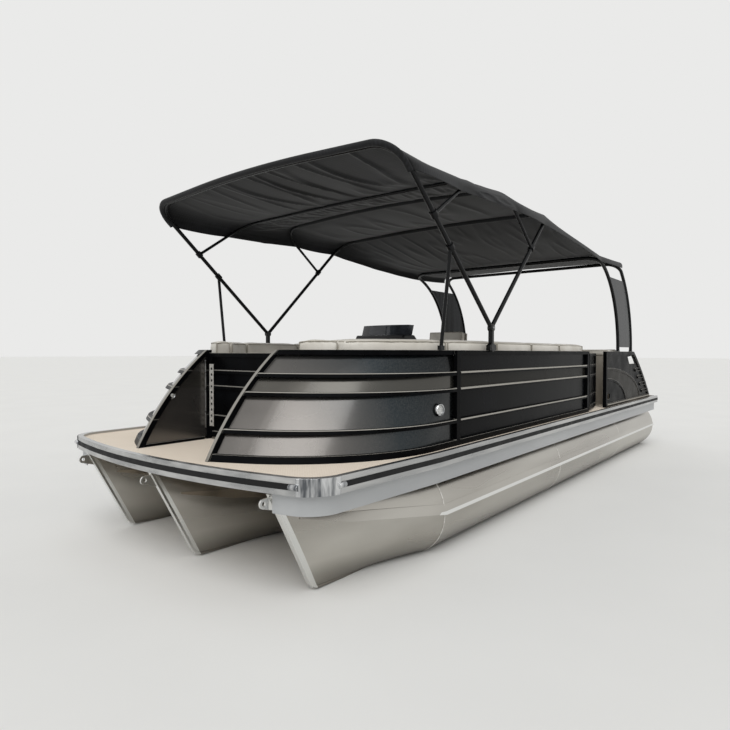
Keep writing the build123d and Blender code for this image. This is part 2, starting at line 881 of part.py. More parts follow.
def bow_plane(foot, run, rise, shift):
    # Plane across the boat that holds a bow: local x to port, local y up the leg
    return Plane(
        origin=(foot[0] + shift, 0, foot[1]),
        x_dir=(0, 1, 0),
        z_dir=(rise, 0, -run),
    )


def hoop_points(half, low, corner):
    return ((half, low), (half, corner), (0, corner + crown_lift), (-half, corner), (-half, low))


# Canopy bows: foot in the side view, top in the side view, where the tube starts, its radius
front_run, front_rise, front_reach = along(pivot, front_bow_top)
rear_run, rear_rise, rear_reach = along(pivot, rear_bow_top)
front_joint = (pivot[0] + front_joint_reach * front_run, pivot[1] + front_joint_reach * front_rise)
rear_joint = (pivot[0] + rear_joint_reach * rear_run, pivot[1] + rear_joint_reach * rear_rise)
bows = (
    ("bimini_front_bow", pivot, front_bow_top, head_radius + fit_gap, main_tube),
    ("bimini_front_brace", front_joint, front_brace_top, main_tube + fit_gap, brace_tube),
    ("bimini_rear_brace", rear_joint, rear_brace_top, main_tube + fit_gap, brace_tube),
    ("bimini_rear_bow", pivot, rear_bow_top, head_radius + fit_gap, main_tube),
)
slides = {"bimini_front_brace": (front_run, front_rise), "bimini_rear_brace": (rear_run, rear_rise)}
for name, foot, top, start, radius in bows:
    run, rise, reach = along(foot, top)
    with BuildPart() as bow:
        with BuildLine(bow_plane(foot, run, rise, 0)) as bow_line:
            FilletPolyline(
                *hoop_points(bow_leg_y, start, reach + bow_corner_reach),
                radius=(corner_bend, crown_bend, corner_bend),
            )
        bow_path = bow_line.wires()[0]
        with BuildSketch(Plane(origin=bow_path @ 0, z_dir=bow_path % 0)):
            Circle(radius)
        sweep(path=bow_path)
        if name in slides:
            slide_run, slide_rise = slides[name]
            for hand in (1, -1):
                slide_plane = Plane(
                    origin=(foot[0], hand * bow_leg_y, foot[1]), z_dir=(slide_run, 0, slide_rise)
                )
                with BuildSketch(slide_plane):
                    Circle(slide_radius)
                extrude(amount=slide_length / 2, both=True)
                with BuildSketch(slide_plane):
                    Circle(main_tube + fit_gap)
                extrude(amount=slide_length, both=True, mode=Mode.SUBTRACT)
    bow.part.label = name
    export_step(bow.part, f"parts/{name}.step")

# Pivot brackets on the fence's top rail
with BuildPart() as bimini_brackets:
    for name, hand in sides:
        with BuildSketch(Plane.XZ.offset(-hand * bow_leg_y)):
            with BuildLine():
                Polyline(
                    (pivot[0] + bracket_foot[0], fence_top),
                    (pivot[0] + bracket_foot[1], fence_top),
                    (pivot[0] + bracket_foot[1], fence_top + bracket_base_high - bracket_shoulder),
                    (pivot[0] + bracket_neck, fence_top + bracket_base_high),
                    (pivot[0] + bracket_neck, pivot[1]),
                    (pivot[0] - bracket_neck, pivot[1]),
                    (pivot[0] - bracket_neck, fence_top + bracket_base_high),
                    (pivot[0] + bracket_foot[0], fence_top + bracket_base_high - bracket_shoulder),
                    close=True,
                )
            make_face()
            with Locations(pivot):
                Circle(head_radius)
        extrude(amount=main_tube, both=True)
bimini_brackets.part.label = "bimini_brackets"
export_step(bimini_brackets.part, "parts/bimini_brackets.step")

# Struts from the fence to the front bow's legs
strut_back = rake_at(fence_top)
strut_foot_y = fence_edge_y(strut_foot_x, strut_back) - rail_depth / 2
strut_head = (pivot[0] + strut_reach * front_run, pivot[1] + strut_reach * front_rise)
with BuildPart() as bimini_struts:
    for name, hand in sides:
        foot_point = Vector(strut_foot_x, hand * strut_foot_y, fence_top + strut_foot_high / 2)
        head_point = Vector(strut_head[0], hand * bow_leg_y, strut_head[1])
        with BuildSketch(Plane(origin=foot_point, z_dir=head_point - foot_point)):
            Circle(brace_tube)
        extrude(amount=(head_point - foot_point).length)
        with BuildSketch(Plane.XY.offset(fence_top)):
            with Locations((strut_foot_x, hand * strut_foot_y)):
                RectangleRounded(60, 26, 8)
        extrude(amount=strut_foot_high)
        clamp_plane = Plane(origin=head_point, z_dir=(front_run, 0, front_rise))
        with BuildSketch(clamp_plane):
            Circle(slide_radius)
        extrude(amount=slide_length / 2, both=True)
        with BuildSketch(clamp_plane):
            Circle(main_tube + fit_gap)
        extrude(amount=slide_length, both=True, mode=Mode.SUBTRACT)
bimini_struts.part.label = "bimini_struts"
export_step(bimini_struts.part, "parts/bimini_struts.step")

# Arch: front and rear hoops with feet on the wings' top rail
arch_foot_z = fence_top + arch_foot_thick


def hoop_radius(foot_x, top):
    reach, height = top[0] - foot_x, top[1] - arch_foot_z
    return (reach**2 + height**2) / (2 * reach)


def hoop_turn(foot_x, top):
    return asin((top[1] - arch_foot_z) / hoop_radius(foot_x, top))


for name, foot_x, top in (
    ("arch_front_hoop", front_hoop_foot_x, front_hoop_top),
    ("arch_rear_hoop", rear_hoop_foot_x, rear_hoop_top),
):
    radius = hoop_radius(foot_x, top)
    turn = hoop_turn(foot_x, top)
    lead_x, lead_z = sin(turn) * arch_bend, cos(turn) * arch_bend
    diagonal = sqrt(0.5)
    with BuildPart() as hoop:
        with BuildLine() as hoop_line:
            for hand in (1, -1):
                leg = ThreePointArc(
                    (foot_x, hand * arch_y, arch_foot_z),
                    (
                        foot_x + radius * (1 - cos(turn / 2)),
                        hand * arch_y,
                        arch_foot_z + radius * sin(turn / 2),
                    ),
                    (top[0], hand * arch_y, top[1]),
                )
                ThreePointArc(
                    leg @ 1,
                    (
                        top[0] + lead_x * diagonal,
                        hand * (arch_y - arch_bend * (1 - diagonal)),
                        top[1] + lead_z * diagonal,
                    ),
                    (top[0] + lead_x, hand * (arch_y - arch_bend), top[1] + lead_z),
                )
            Line(
                (top[0] + lead_x, arch_y - arch_bend, top[1] + lead_z),
                (top[0] + lead_x, arch_bend - arch_y, top[1] + lead_z),
            )
        hoop_path = hoop_line.wires()[0]
        with BuildSketch(Plane(origin=hoop_path @ 0, z_dir=hoop_path % 0)):
            Circle(arch_tube)
        sweep(path=hoop_path)
        with BuildSketch(Plane.XY.offset(fence_top)):
            for hand in (1, -1):
                with Locations((foot_x, hand * arch_y)):
                    RectangleRounded(2 * arch_foot_radius, wing_depth - 2, 10)
        extrude(amount=arch_foot_thick)
    hoop.part.label = name
    export_step(hoop.part, f"parts/{name}.step")

# Bright filler plates between the two hoops' legs
plate_gap = arch_tube + fit_gap
front_radius = hoop_radius(front_hoop_foot_x, front_hoop_top)
rear_radius = hoop_radius(rear_hoop_foot_x, rear_hoop_top)


def leg_x(foot_x, radius, z):
    return foot_x + radius - sqrt(radius**2 - (z - arch_foot_z) ** 2)


plate_low = arch_foot_z + 40
plate_middle = (plate_low + arch_plate_high) / 2
with BuildPart() as arch_plates:
    for name, hand in sides:
        with BuildSketch(Plane.XZ.offset(-hand * arch_y)):
            with BuildLine():
                fore = [
                    (leg_x(front_hoop_foot_x - plate_gap, front_radius + plate_gap, z), z)
                    for z in (plate_low, plate_middle, arch_plate_high)
                ]
                aft = [
                    (leg_x(rear_hoop_foot_x + plate_gap, rear_radius - plate_gap, z), z)
                    for z in (plate_low, plate_middle, arch_plate_high)
                ]
                ThreePointArc(*fore)
                Line(fore[2], aft[2])
                ThreePointArc(aft[2], aft[1], aft[0])
                Line(aft[0], fore[0])
            make_face()
        extrude(amount=arch_plate_thick / 2, both=True)
arch_plates.part.label = "arch_plates"
export_step(arch_plates.part, "parts/arch_plates.step")

# Canopy: one stretched sheet over four bows and the two hoops, its sides turned down
arch_cross_z = (
    front_hoop_top[1] + cos(hoop_turn(front_hoop_foot_x, front_hoop_top)) * arch_bend,
    rear_hoop_top[1] + cos(hoop_turn(rear_hoop_foot_x, rear_hoop_top)) * arch_bend,
)
arch_cross_x = (
    front_hoop_top[0] + sin(hoop_turn(front_hoop_foot_x, front_hoop_top)) * arch_bend,
    rear_hoop_top[0] + sin(hoop_turn(rear_hoop_foot_x, rear_hoop_top)) * arch_bend,
)


def canopy_section(half, low, corner, lift, bend):
    # Closed thin section across the boat: outer skin, inner skin and the two hems
    with BuildSketch() as section:
        with BuildLine():
            for skin in (0, canopy_thick):
                FilletPolyline(
                    (half + skin, low),
                    (half + skin, corner + skin),
                    (0, corner + skin + lift),
                    (-half - skin, corner + skin),
                    (-half - skin, low),
                    radius=(bend + skin, crown_bend + skin, bend + skin),
                )
            Line((half, low), (half + canopy_thick, low))
            Line((-half, low), (-half - canopy_thick, low))
        make_face()
    return section.sketch


# Stations over bows: foot, top, tube radius, shift of the plane along the boat
canopy_stations = (
    (pivot, front_bow_top, main_tube, front_hem),
    (front_joint, front_brace_top, brace_tube, 0),
    (rear_joint, rear_brace_top, brace_tube, 0),
    (pivot, rear_bow_top, main_tube, 0),
)
canopy_half = bow_leg_y + main_tube + fit_gap
with BuildPart() as canopy:
    for foot, top, radius, shift in canopy_stations:
        run, rise, reach = along(foot, top)
        lift = (radius + fit_gap) / rise + 0.5
        corner = reach + bow_corner_reach + lift
        with BuildSketch(bow_plane(foot, run, rise, shift)):
            add(canopy_section(canopy_half, corner - canopy_drop / rise, corner, crown_lift, corner_bend))
    for x, z in (
        (arch_cross_x[0], arch_cross_z[0]),
        (arch_cross_x[1] - arch_tube - 12, arch_cross_z[1]),
    ):
        corner = z + arch_tube + fit_gap
        with BuildSketch(Plane.YZ.offset(x)):
            low = corner - canopy_arch_drop
            add(canopy_section(canopy_half, low, corner, crown_lift / 4, corner_bend / 4))
    loft(ruled=True)
canopy.part.label = "canopy"
export_step(canopy.part, "parts/canopy.step")

# Bow lounges: moulded bases, seat pads and bolsters that follow the fence
for name, hand in sides:
    aft_x = port_lounge_aft_x if hand > 0 else starboard_lounge_aft_x
    with BuildPart() as base:
        with BuildSketch(Plane.XY.offset(deck_top)):
            add(lounge_plan(rake_at(seat_base_high), lounge_inset, lounge_inner_y, aft_x))
        extrude(amount=seat_base_high - deck_top)
        with BuildSketch(Plane.XY.offset(deck_top)):
            with Locations((aft_x + (fence_front - aft_x) / 2, lounge_inner_y)):
                Rectangle(2 * fence_front, 2 * toe_kick)
        extrude(amount=toe_height, mode=Mode.SUBTRACT)
    with BuildPart() as pads:
        with BuildSketch(Plane.XY.offset(seat_base_high + fit_gap)):
            add(lounge_plan(rake_at(seat_pad_high), lounge_inset, lounge_inner_y, aft_x))
        extrude(amount=seat_pad_high - seat_base_high - fit_gap)
        with BuildSketch(Plane.XY.offset(seat_pad_high + pad_gap)):
            add(
                fence_band(
                    rake_at(bolster_high),
                    bolster_inset,
                    bolster_inset + bolster_thick,
                    lounge_inner_y,
                    aft_x,
                )
            )
        extrude(amount=bolster_high - seat_pad_high - pad_gap)
    base_part = base.part if hand > 0 else mirror(base.part, about=Plane.XZ)
    pads_part = pads.part if hand > 0 else mirror(pads.part, about=Plane.XZ)
    base_part.label = f"bow_lounge_base_{name}"
    export_step(base_part, f"parts/bow_lounge_base_{name}.step")
    pads_part.label = f"bow_lounge_pads_{name}"
    export_step(pads_part, f"parts/bow_lounge_pads_{name}.step")

# Stern loungers: they face aft, backs to the cockpit
for name, hand in sides:
    lounger_mid = Plane.XZ.offset(-hand * (lounger_inner_y + lounger_outer_y) / 2)
    lounger_half = (lounger_outer_y - lounger_inner_y) / 2
    with BuildPart() as base:
        with BuildSketch(lounger_mid) as profile:
            with BuildLine():
                Polyline(
                    (lounger_front_x, deck_top),
                    (lounger_front_x, lounger_back_high),
                    slope_head,
                    slope_foot,
                    (lounger_aft_x, seat_base_high),
                    (lounger_aft_x + toe_kick, deck_top + toe_height),
                    (lounger_aft_x + toe_kick, deck_top),
                    close=True,
                )
            make_face()
        extrude(amount=lounger_half, both=True)
    base.part.label = f"stern_lounger_base_{name}"
    export_step(base.part, f"parts/stern_lounger_base_{name}.step")

    back_run, back_rise, back_length = along(slope_foot, slope_head)
    with BuildPart() as pads:
        with BuildSketch(lounger_mid):
            seat_front_x = slope_foot[0] - lounger_pad - pad_gap
            with Locations(
                ((seat_front_x + lounger_aft_x) / 2, seat_base_high + fit_gap + lounger_pad / 2)
            ):
                Rectangle(seat_front_x - lounger_aft_x, lounger_pad)
            with BuildLine():
                low_in = (slope_foot[0] - fit_gap * back_rise, slope_foot[1] + fit_gap * back_run)
                reach = back_length - 10
                Polyline(
                    (low_in[0] + 8 * back_run, low_in[1] + 8 * back_rise),
                    (low_in[0] + reach * back_run, low_in[1] + reach * back_rise),
                    (
                        low_in[0] + reach * back_run - lounger_pad * back_rise,
                        low_in[1] + reach * back_rise + lounger_pad * back_run,
                    ),
                    (
                        low_in[0] + 8 * back_run - lounger_pad * back_rise,
                        low_in[1] + 8 * back_rise + lounger_pad * back_run,
                    ),
                    close=True,
                )
            make_face()
        extrude(amount=lounger_half, both=True)
        with BuildSketch(Plane.XY.offset(lounger_back_high + fit_gap)):
            cap_x = lounger_front_x - 5 - lounger_cap / 2
            with Locations((cap_x, hand * (lounger_inner_y + lounger_outer_y) / 2)):
                RectangleRounded(lounger_cap, 2 * lounger_half, lounger_cap / 5)
        extrude(amount=bolster_high - 20 - lounger_back_high)
    pads.part.label = f"stern_lounger_pads_{name}"
    export_step(pads.part, f"parts/stern_lounger_pads_{name}.step")

# Helm console, its windscreen and the steering column
with BuildPart() as helm_console:
    with BuildSketch(Plane.XZ.offset(-(console_inner_y + console_outer_y) / 2)) as profile:
        with BuildLine():
            Polyline(
                (console_front_x, deck_top),
                (console_front_x, dash_front[1]),
                (dash_front[0], console_high),
                (dash_aft_x, console_high),
                (dash_lip[0], dash_lip[1]),
                (dash_lip[0], dash_lip[2]),
                console_kick,
                (console_kick[0], deck_top),
                close=True,
            )
        make_face()
        fillet(profile.vertices().filter_by_position(Axis.Y, 1200, 1600), 30)
    extrude(amount=(console_inner_y - console_outer_y) / 2, both=True)
    fillet(helm_console.faces().sort_by(Axis.Y)[-1].edges().filter_by_position(Axis.Z, 1000, 1700), 20)
    wheel_run, wheel_rise = cos(radians(wheel_rake)), sin(radians(wheel_rake))
    column_plane = Plane(
        origin=(
            wheel_hub[0] + fit_gap * wheel_run,
            wheel_hub[1],
            wheel_hub[2] - fit_gap * wheel_rise,
        ),
        z_dir=(wheel_run, 0, -wheel_rise),
    )
    with BuildSketch(column_plane):
        Circle(column_radius)
    extrude(amount=120)
helm_console.part.label = "helm_console"
export_step(helm_console.part, "parts/helm_console.step")

console_mid_y = (console_inner_y + console_outer_y) / 2
screen_half = (console_inner_y - console_outer_y) / 2 - screen_inset
with BuildPart() as windscreen:
    with BuildSketch(Plane.XY.offset(console_high + fit_gap)):
        with BuildLine():
            for inset in (0, screen_thick):
                half = screen_half - inset
                foot_x = screen_x - screen_bow - inset
                Line((screen_aft_x, console_mid_y - half), (foot_x, console_mid_y - half))
                ThreePointArc(
                    (foot_x, console_mid_y - half),
                    (screen_x - inset, console_mid_y),
                    (foot_x, console_mid_y + half),
                )
                Line((foot_x, console_mid_y + half), (screen_aft_x, console_mid_y + half))
            for hand in (1, -1):
                Line(
                    (screen_aft_x, console_mid_y + hand * screen_half),
                    (screen_aft_x, console_mid_y + hand * (screen_half - screen_thick)),
                )
        make_face()
    extrude(amount=screen_high, dir=(-screen_rake, 0, 1))
windscreen.part.label = "windscreen"
export_step(windscreen.part, "parts/windscreen.step")

wheel_plane = Plane(origin=wheel_hub, x_dir=(0, 1, 0), z_dir=(-wheel_run, 0, wheel_rise))
with BuildPart() as steering_wheel:
    with BuildSketch(wheel_plane):
        Circle(34)
    extrude(amount=36)
    with BuildSketch(wheel_plane.offset(14)):
        for turn in (90, 210, 330):
            with PolarLocations(wheel_radius / 2, 1, start_angle=turn):
                Rectangle(wheel_radius, 26)
    extrude(amount=8)
    with BuildPart(mode=Mode.PRIVATE) as rim:
        with BuildSketch(Plane.XZ):
            with Locations((wheel_radius, 0)):
                Circle(wheel_rim)
        revolve(axis=Axis.Z)
    add(rim.part.moved(wheel_plane.offset(18).location))
steering_wheel.part.label = "steering_wheel"
export_step(steering_wheel.part, "parts/steering_wheel.step")

# Helm chair: fixed pedestal, swivelling shell and its pads
with BuildPart() as chair_pedestal:
    with BuildSketch(Plane.XZ.offset(-chair_y)):
        with BuildLine():
            Polyline(
                (chair_x, deck_top),
                (chair_x + pedestal_radius, deck_top),
                (chair_x + pedestal_radius, deck_top + 12),
                (chair_x + pedestal_post + 30, deck_top + 30),
                (chair_x + pedestal_post, deck_top + 60),
                (chair_x + pedestal_post, pedestal_high),
                (chair_x, pedestal_high),
                close=True,
            )
        make_face()
    revolve(axis=Axis((chair_x, chair_y, 0), (0, 0, 1)))
chair_pedestal.part.label = "chair_pedestal"
export_step(chair_pedestal.part, "parts/chair_pedestal.step")

shell_low = pedestal_high + fit_gap
with BuildPart() as chair_shell:
    with BuildSketch(Plane.XZ.offset(-chair_y)):
        with BuildLine():
            Polyline(
                (chair_x + chair_pad_front + 5, shell_low + chair_floor / 3),
                (chair_x + chair_pad_front - 5, shell_low + chair_floor),
                (chair_x + chair_back[0], shell_low + chair_floor),
                (chair_x + chair_back[1], chair_back_high),
                (chair_x + chair_back[1] - 35, chair_back_high),
                (chair_x + chair_back[0] - chair_floor, shell_low + chair_floor / 3),
                (chair_x + chair_back[0] - 10, shell_low),
                (chair_x + chair_pad_front - 45, shell_low),
                close=True,
            )
        make_face()
    extrude(amount=chair_half_width - 20, both=True)
    for hand in (1, -1):
        arm_y = chair_y + hand * (chair_half_width + 8)
        with BuildSketch(Plane.XZ.offset(-arm_y)):
            with BuildLine():
                Polyline(
                    (chair_x + chair_arm[0], shell_low + chair_floor / 3),
                    (chair_x + chair_arm[0], shell_low + chair_floor),
                    (chair_x + chair_arm[0] - chair_floor, shell_low + arm_high - 40),
                    (chair_x + chair_arm[0] - 20, shell_low + arm_high),
                    (chair_x + chair_arm[1], shell_low + arm_high),
                    (chair_x + chair_arm[1], shell_low + chair_floor / 3),
                    close=True,
                )
            make_face()
        extrude(amount=arm_thick, both=True)
chair_shell.part.label = "chair_shell"
export_step(chair_shell.part, "parts/chair_shell.step")

# Pads of the chair, laid along its floor and its leaning back
lean_run, lean_rise, lean_length = along(
    (chair_x + chair_back[0], shell_low + chair_floor), (chair_x + chair_back[1], chair_back_high)
)


def chair_back_point(up, out):
    # Point of the side view, up along the chair's back and out from it
    return (
        chair_x + chair_back[0] + up * lean_run + out * lean_rise,
        shell_low + chair_floor + up * lean_rise - out * lean_run,
    )


with BuildPart() as chair_pads:
    pad_foot = shell_low + chair_floor + fit_gap
    with BuildSketch(Plane.XZ.offset(-chair_y)):
        with BuildLine():
            Polyline(
                (chair_x + chair_pad_front, pad_foot),
                (chair_x + chair_pad_front, pad_foot + chair_pad_thick),
                (chair_x + chair_back[0] + 100, pad_foot + 0.85 * chair_pad_thick),
                (chair_x + chair_back[0] + 100, pad_foot),
                close=True,
            )
        make_face()
        with BuildLine():
            Polyline(
                chair_back_point(10, fit_gap),
                chair_back_point(lean_length + 10, fit_gap),
                chair_back_point(lean_length + 10, chair_pad_thick - 5),
                chair_back_point(10, 96),
                close=True,
            )
        make_face()
    extrude(amount=chair_half_width - 24, both=True)
chair_pads.part.label = "chair_pads"
export_step(chair_pads.part, "parts/chair_pads.step")

# Motor pod behind the centre pontoon, with the clamp plates of the outboard
with BuildPart() as motor_pod:
    with BuildSketch(Plane.XZ):
        with BuildLine():
            Polyline(
                (tube_aft_x - fit_gap, 20),
                (tube_aft_x - fit_gap, pod_high),
                (pod_aft_x, pod_high),
                (pod_aft_x + 40, 60),
                (pod_aft_x + 120, 20),
                close=True,
            )
        make_face()
    extrude(amount=pod_half_width, both=True)
motor_pod.part.label = "motor_pod"
export_step(motor_pod.part, "parts/motor_pod.step")

with BuildPart() as clamp_bracket:
    for hand in (1, -1):
        clamp_y = hand * (clamp_inner_y + clamp_thick / 2)
        with BuildSketch(Plane.XZ.offset(-clamp_y)):
            with BuildLine():
                Polyline(
                    (pod_aft_x - fit_gap, clamp_low),
                    (pod_aft_x - fit_gap, pod_high + 5),
                    (pod_aft_x + 60, pod_high + 5),
                    (pod_aft_x + 60, pod_high + 40),
                    (tilt_x - 10, tilt_z + 32),
                    (tilt_x - 36, tilt_z + 10),
                    (tilt_x - 36, tilt_z - 20),
                    (pod_aft_x - 22, clamp_low),
                    close=True,
                )
            make_face()
            with Locations((tilt_x, tilt_z)):
                Circle(tilt_pin + pin_gap, mode=Mode.SUBTRACT)
        extrude(amount=clamp_thick / 2, both=True)
clamp_bracket.part.label = "clamp_bracket"
export_step(clamp_bracket.part, "parts/clamp_bracket.step")

# Swivel bracket: tilt tube through the clamp plates, bearing for the steering pin
with BuildPart() as swivel_bracket:
    with BuildSketch(Plane.XY.offset(swivel_low)):
        with Locations((steer_x, 0)):
            Circle(swivel_radius)
        with Locations(((steer_x + tilt_x) / 2 + 10, 0)):
            Rectangle(tilt_x - steer_x, 60)
    extrude(amount=swivel_high - swivel_low)
    with BuildSketch(Plane.XZ):
        with Locations((tilt_x, tilt_z)):
            Circle(tilt_pin + 16)
    extrude(amount=clamp_inner_y - 6, both=True)
    with BuildSketch(Plane.XZ):
        with Locations((tilt_x, tilt_z)):
            Circle(tilt_pin)
    extrude(amount=clamp_inner_y + clamp_thick, both=True)
    with BuildSketch(Plane.XY.offset(swivel_low)):
        with Locations((steer_x, 0)):
            Circle(steer_pin + pin_gap)
    extrude(amount=tilt_z, mode=Mode.SUBTRACT)
swivel_bracket.part.label = "swivel_bracket"
export_step(swivel_bracket.part, "parts/swivel_bracket.step")

# Outboard: cowling, leg, plates, gearcase and skeg on the steering pin's yokes
with BuildPart() as outboard:
    # Cowling sections: height, front edge, aft edge, half width, corner radius
    for z, front, aft, half, corner in (
        (cowl_low, cowl_front_x - 20, cowl_aft_x + 60, cowl_half_width - 45, 60),
        (cowl_low + 130, cowl_front_x, cowl_aft_x, cowl_half_width, 90),
        (cowl_high - 120, cowl_front_x - 10, cowl_aft_x + 20, cowl_half_width - 10, 95),
        (cowl_high, cowl_front_x - 70, cowl_aft_x + 110, cowl_half_width - 80, 70),
    ):
        with BuildSketch(Plane.XY.offset(z)):
            with Locations(((front + aft) / 2, 0)):
                RectangleRounded(front - aft, 2 * half, corner)
    loft(ruled=True)
    # Leg sections: height, front edge, aft edge, half width
    for low, high in (
        ((cowl_low + 10, leg_front_x, leg_aft_x - 60, 95), (250, leg_front_x, leg_aft_x - 10, 70)),
        ((250, leg_front_x, leg_aft_x - 10, 70), (plate_z, leg_front_x - 40, leg_aft_x, 42)),
        ((plate_z, leg_front_x - 40, leg_aft_x, 42), (shaft_z, leg_front_x - 60, leg_aft_x, 26)),
    ):
        with BuildPart(mode=Mode.PRIVATE) as length:
            for z, front, aft, half in (low, high):
                with BuildSketch(Plane.XY.offset(z)):
                    with Locations(((front + aft) / 2, 0)):
                        RectangleRounded(front - aft, 2 * half, half * 0.9)
            loft(ruled=True)
        add(length.part)
    with BuildSketch(Plane.XY.offset(plate_z)):
        with BuildLine():
            Polyline(
                (leg_front_x + 10, 0),
                (leg_front_x - 60, 85),
                (propeller_x - 60, 110),
                (propeller_x - 60, -110),
                (leg_front_x - 60, -85),
                close=True,
            )
        make_face()
    extrude(amount=10)
    with BuildSketch(Plane.XZ):
        # Gearcase profile: place along the shaft, radius
        nose_x = leg_front_x - 20
        case_aft_x = propeller_x + hub_length / 2 + 10
        with BuildLine():
            Polyline(
                *(
                    (x, shaft_z + radius)
                    for x, radius in (
                        (nose_x, 0),
                        (nose_x - 18, 24),
                        (nose_x - 60, hub_radius - 4),
                        (nose_x - 130, hub_radius + 6),
                        (case_aft_x, hub_radius),
                        (case_aft_x, 0),
                    )
                ),
                close=True,
            )
        make_face()
    revolve(axis=Axis((0, 0, shaft_z), (1, 0, 0)))
    with BuildSketch(Plane.XZ):
        with BuildLine():
            Polyline(
                (leg_front_x - 90, shaft_z),
                (leg_aft_x + 20, shaft_z),
                (leg_aft_x - 30, shaft_z - 215),
                (leg_aft_x + 50, shaft_z - 225),
                close=True,
            )
        make_face()
    extrude(amount=7, both=True)
    with BuildSketch(Plane.XY.offset(swivel_low - yoke_gap - yoke_thick)):
        with Locations((steer_x, 0)):
            Circle(steer_pin)
    extrude(amount=swivel_high - swivel_low + 2 * yoke_gap + 2 * yoke_thick)
    for z in (swivel_low - yoke_gap - yoke_thick, swivel_high + yoke_gap):
        with BuildSketch(Plane.XY.offset(z)):
            with Locations((steer_x, 0)):
                Circle(swivel_radius)
            with Locations(((steer_x + leg_front_x) / 2 - 30, 0)):
                Rectangle(steer_x - leg_front_x + 60, 1.6 * swivel_radius)
        extrude(amount=yoke_thick)
    with BuildSketch(Plane.YZ.offset(propeller_x - hub_length / 2 - 6)):
        with Locations((0, shaft_z)):
            Circle(tilt_pin)
    extrude(amount=hub_length + 30)
outboard.part.label = "outboard"
export_step(outboard.part, "parts/outboard.step")

# Propeller: hub on the shaft and three pitched blades
with BuildPart() as propeller:
    with BuildSketch(Plane.YZ.offset(propeller_x - hub_length / 2)):
        with Locations((0, shaft_z)):
            Circle(hub_radius)
    extrude(amount=hub_length + 5)
    for blade in range(blade_count):
        turn = 360 / blade_count * blade
        with BuildPart(mode=Mode.PRIVATE) as blade_part:
            # Blade sections: distance from the shaft, chord, thickness, pitch angle
            for reach, chord, thick, pitch in (
                (hub_radius - 12, 80, 12, 52),
                (115, 150, 8, 32),
                (propeller_radius, 70, 4, 22),
            ):
                with BuildSketch(Plane.XY.offset(reach)):
                    Rectangle(chord, thick, rotation=90 - pitch)
            loft(ruled=True)
        blade_turned = blade_part.part.rotate(Axis.X, turn)
        add(blade_turned.moved(Location((propeller_x, 0, shaft_z))))
    with BuildSketch(Plane.YZ.offset(propeller_x - hub_length)):
        with Locations((0, shaft_z)):
            Circle(tilt_pin + pin_gap)
    extrude(amount=2 * hub_length + 20, mode=Mode.SUBTRACT)
propeller.part.label = "propeller"
export_step(propeller.part, "parts/propeller.step")

# Round docking lamps set on the bow skins, square to the raked and turned surface
lamp_back = rake_at(lamp_z)
lamp_turn = asin(
    max(0, lamp_x - (fence_centre_x - lamp_back)) / (fence_turn_radius - rail_depth - fit_gap)
)
lamp_slope = rake_at(lamp_z + 1) - lamp_back
with BuildPart() as docking_lamps:
    for name, hand in sides:
        face_y = fence_centre_y + (fence_turn_radius - rail_depth - fit_gap) * cos(lamp_turn)
        normal = Vector(sin(lamp_turn), hand * cos(lamp_turn), sin(lamp_turn) * lamp_slope)
        lamp_foot = Vector(lamp_x, hand * face_y, lamp_z) + normal.normalized() * lamp_seat
        with BuildSketch(Plane(origin=lamp_foot, z_dir=normal)):
            Circle(lamp_radius)
        extrude(amount=lamp_thick)
docking_lamps.part.label = "docking_lamps"
export_step(docking_lamps.part, "parts/docking_lamps.step")
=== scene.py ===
import json
import math

import bmesh
import bpy
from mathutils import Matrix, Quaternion, Vector, noise
from mathutils.bvhtree import BVHTree
from mathutils.kdtree import KDTree


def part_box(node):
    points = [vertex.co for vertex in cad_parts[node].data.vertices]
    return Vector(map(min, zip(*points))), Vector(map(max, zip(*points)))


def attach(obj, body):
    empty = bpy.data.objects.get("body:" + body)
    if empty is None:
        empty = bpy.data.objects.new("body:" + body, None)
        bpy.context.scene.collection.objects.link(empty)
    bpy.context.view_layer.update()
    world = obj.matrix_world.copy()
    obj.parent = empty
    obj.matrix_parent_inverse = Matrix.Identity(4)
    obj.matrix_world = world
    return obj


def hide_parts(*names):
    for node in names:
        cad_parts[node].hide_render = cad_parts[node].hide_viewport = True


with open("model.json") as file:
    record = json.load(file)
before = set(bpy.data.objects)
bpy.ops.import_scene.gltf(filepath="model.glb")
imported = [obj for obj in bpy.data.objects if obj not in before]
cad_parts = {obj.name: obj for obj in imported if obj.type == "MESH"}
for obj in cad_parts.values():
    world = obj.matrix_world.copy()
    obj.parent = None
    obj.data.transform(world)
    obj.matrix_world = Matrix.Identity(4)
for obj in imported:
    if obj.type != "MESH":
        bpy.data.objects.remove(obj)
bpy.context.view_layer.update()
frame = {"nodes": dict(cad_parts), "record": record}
nodes = frame["nodes"]
scene = bpy.context.scene
print("frame loaded:", len(nodes), "nodes")

# Camera: stands off the port bow, 1.3 m over the water
camera = {
    "place": (5.414, 3.088, 1.307),
    "looksAlong": (-0.7833, -0.6213, -0.0225),
    "lens": 28.15,
    "rollDegrees": -0.12,
}
cameraData = bpy.data.cameras.new("boatCamera")
cameraData.lens = camera["lens"]
cameraData.sensor_width = 36
cameraData.clip_end = 200
cameraObject = bpy.data.objects.new("boatCamera", cameraData)
scene.collection.objects.link(cameraObject)
cameraObject.location = camera["place"]
lookDirection = Vector(camera["looksAlong"]).normalized()
cameraObject.rotation_mode = "QUATERNION"
cameraObject.rotation_quaternion = (
    Quaternion(lookDirection, math.radians(camera["rollDegrees"]))
    @ lookDirection.to_track_quat("-Z", "Y")
)
scene.camera = cameraObject
scene.view_settings.view_transform = "Standard"
print("camera placed")


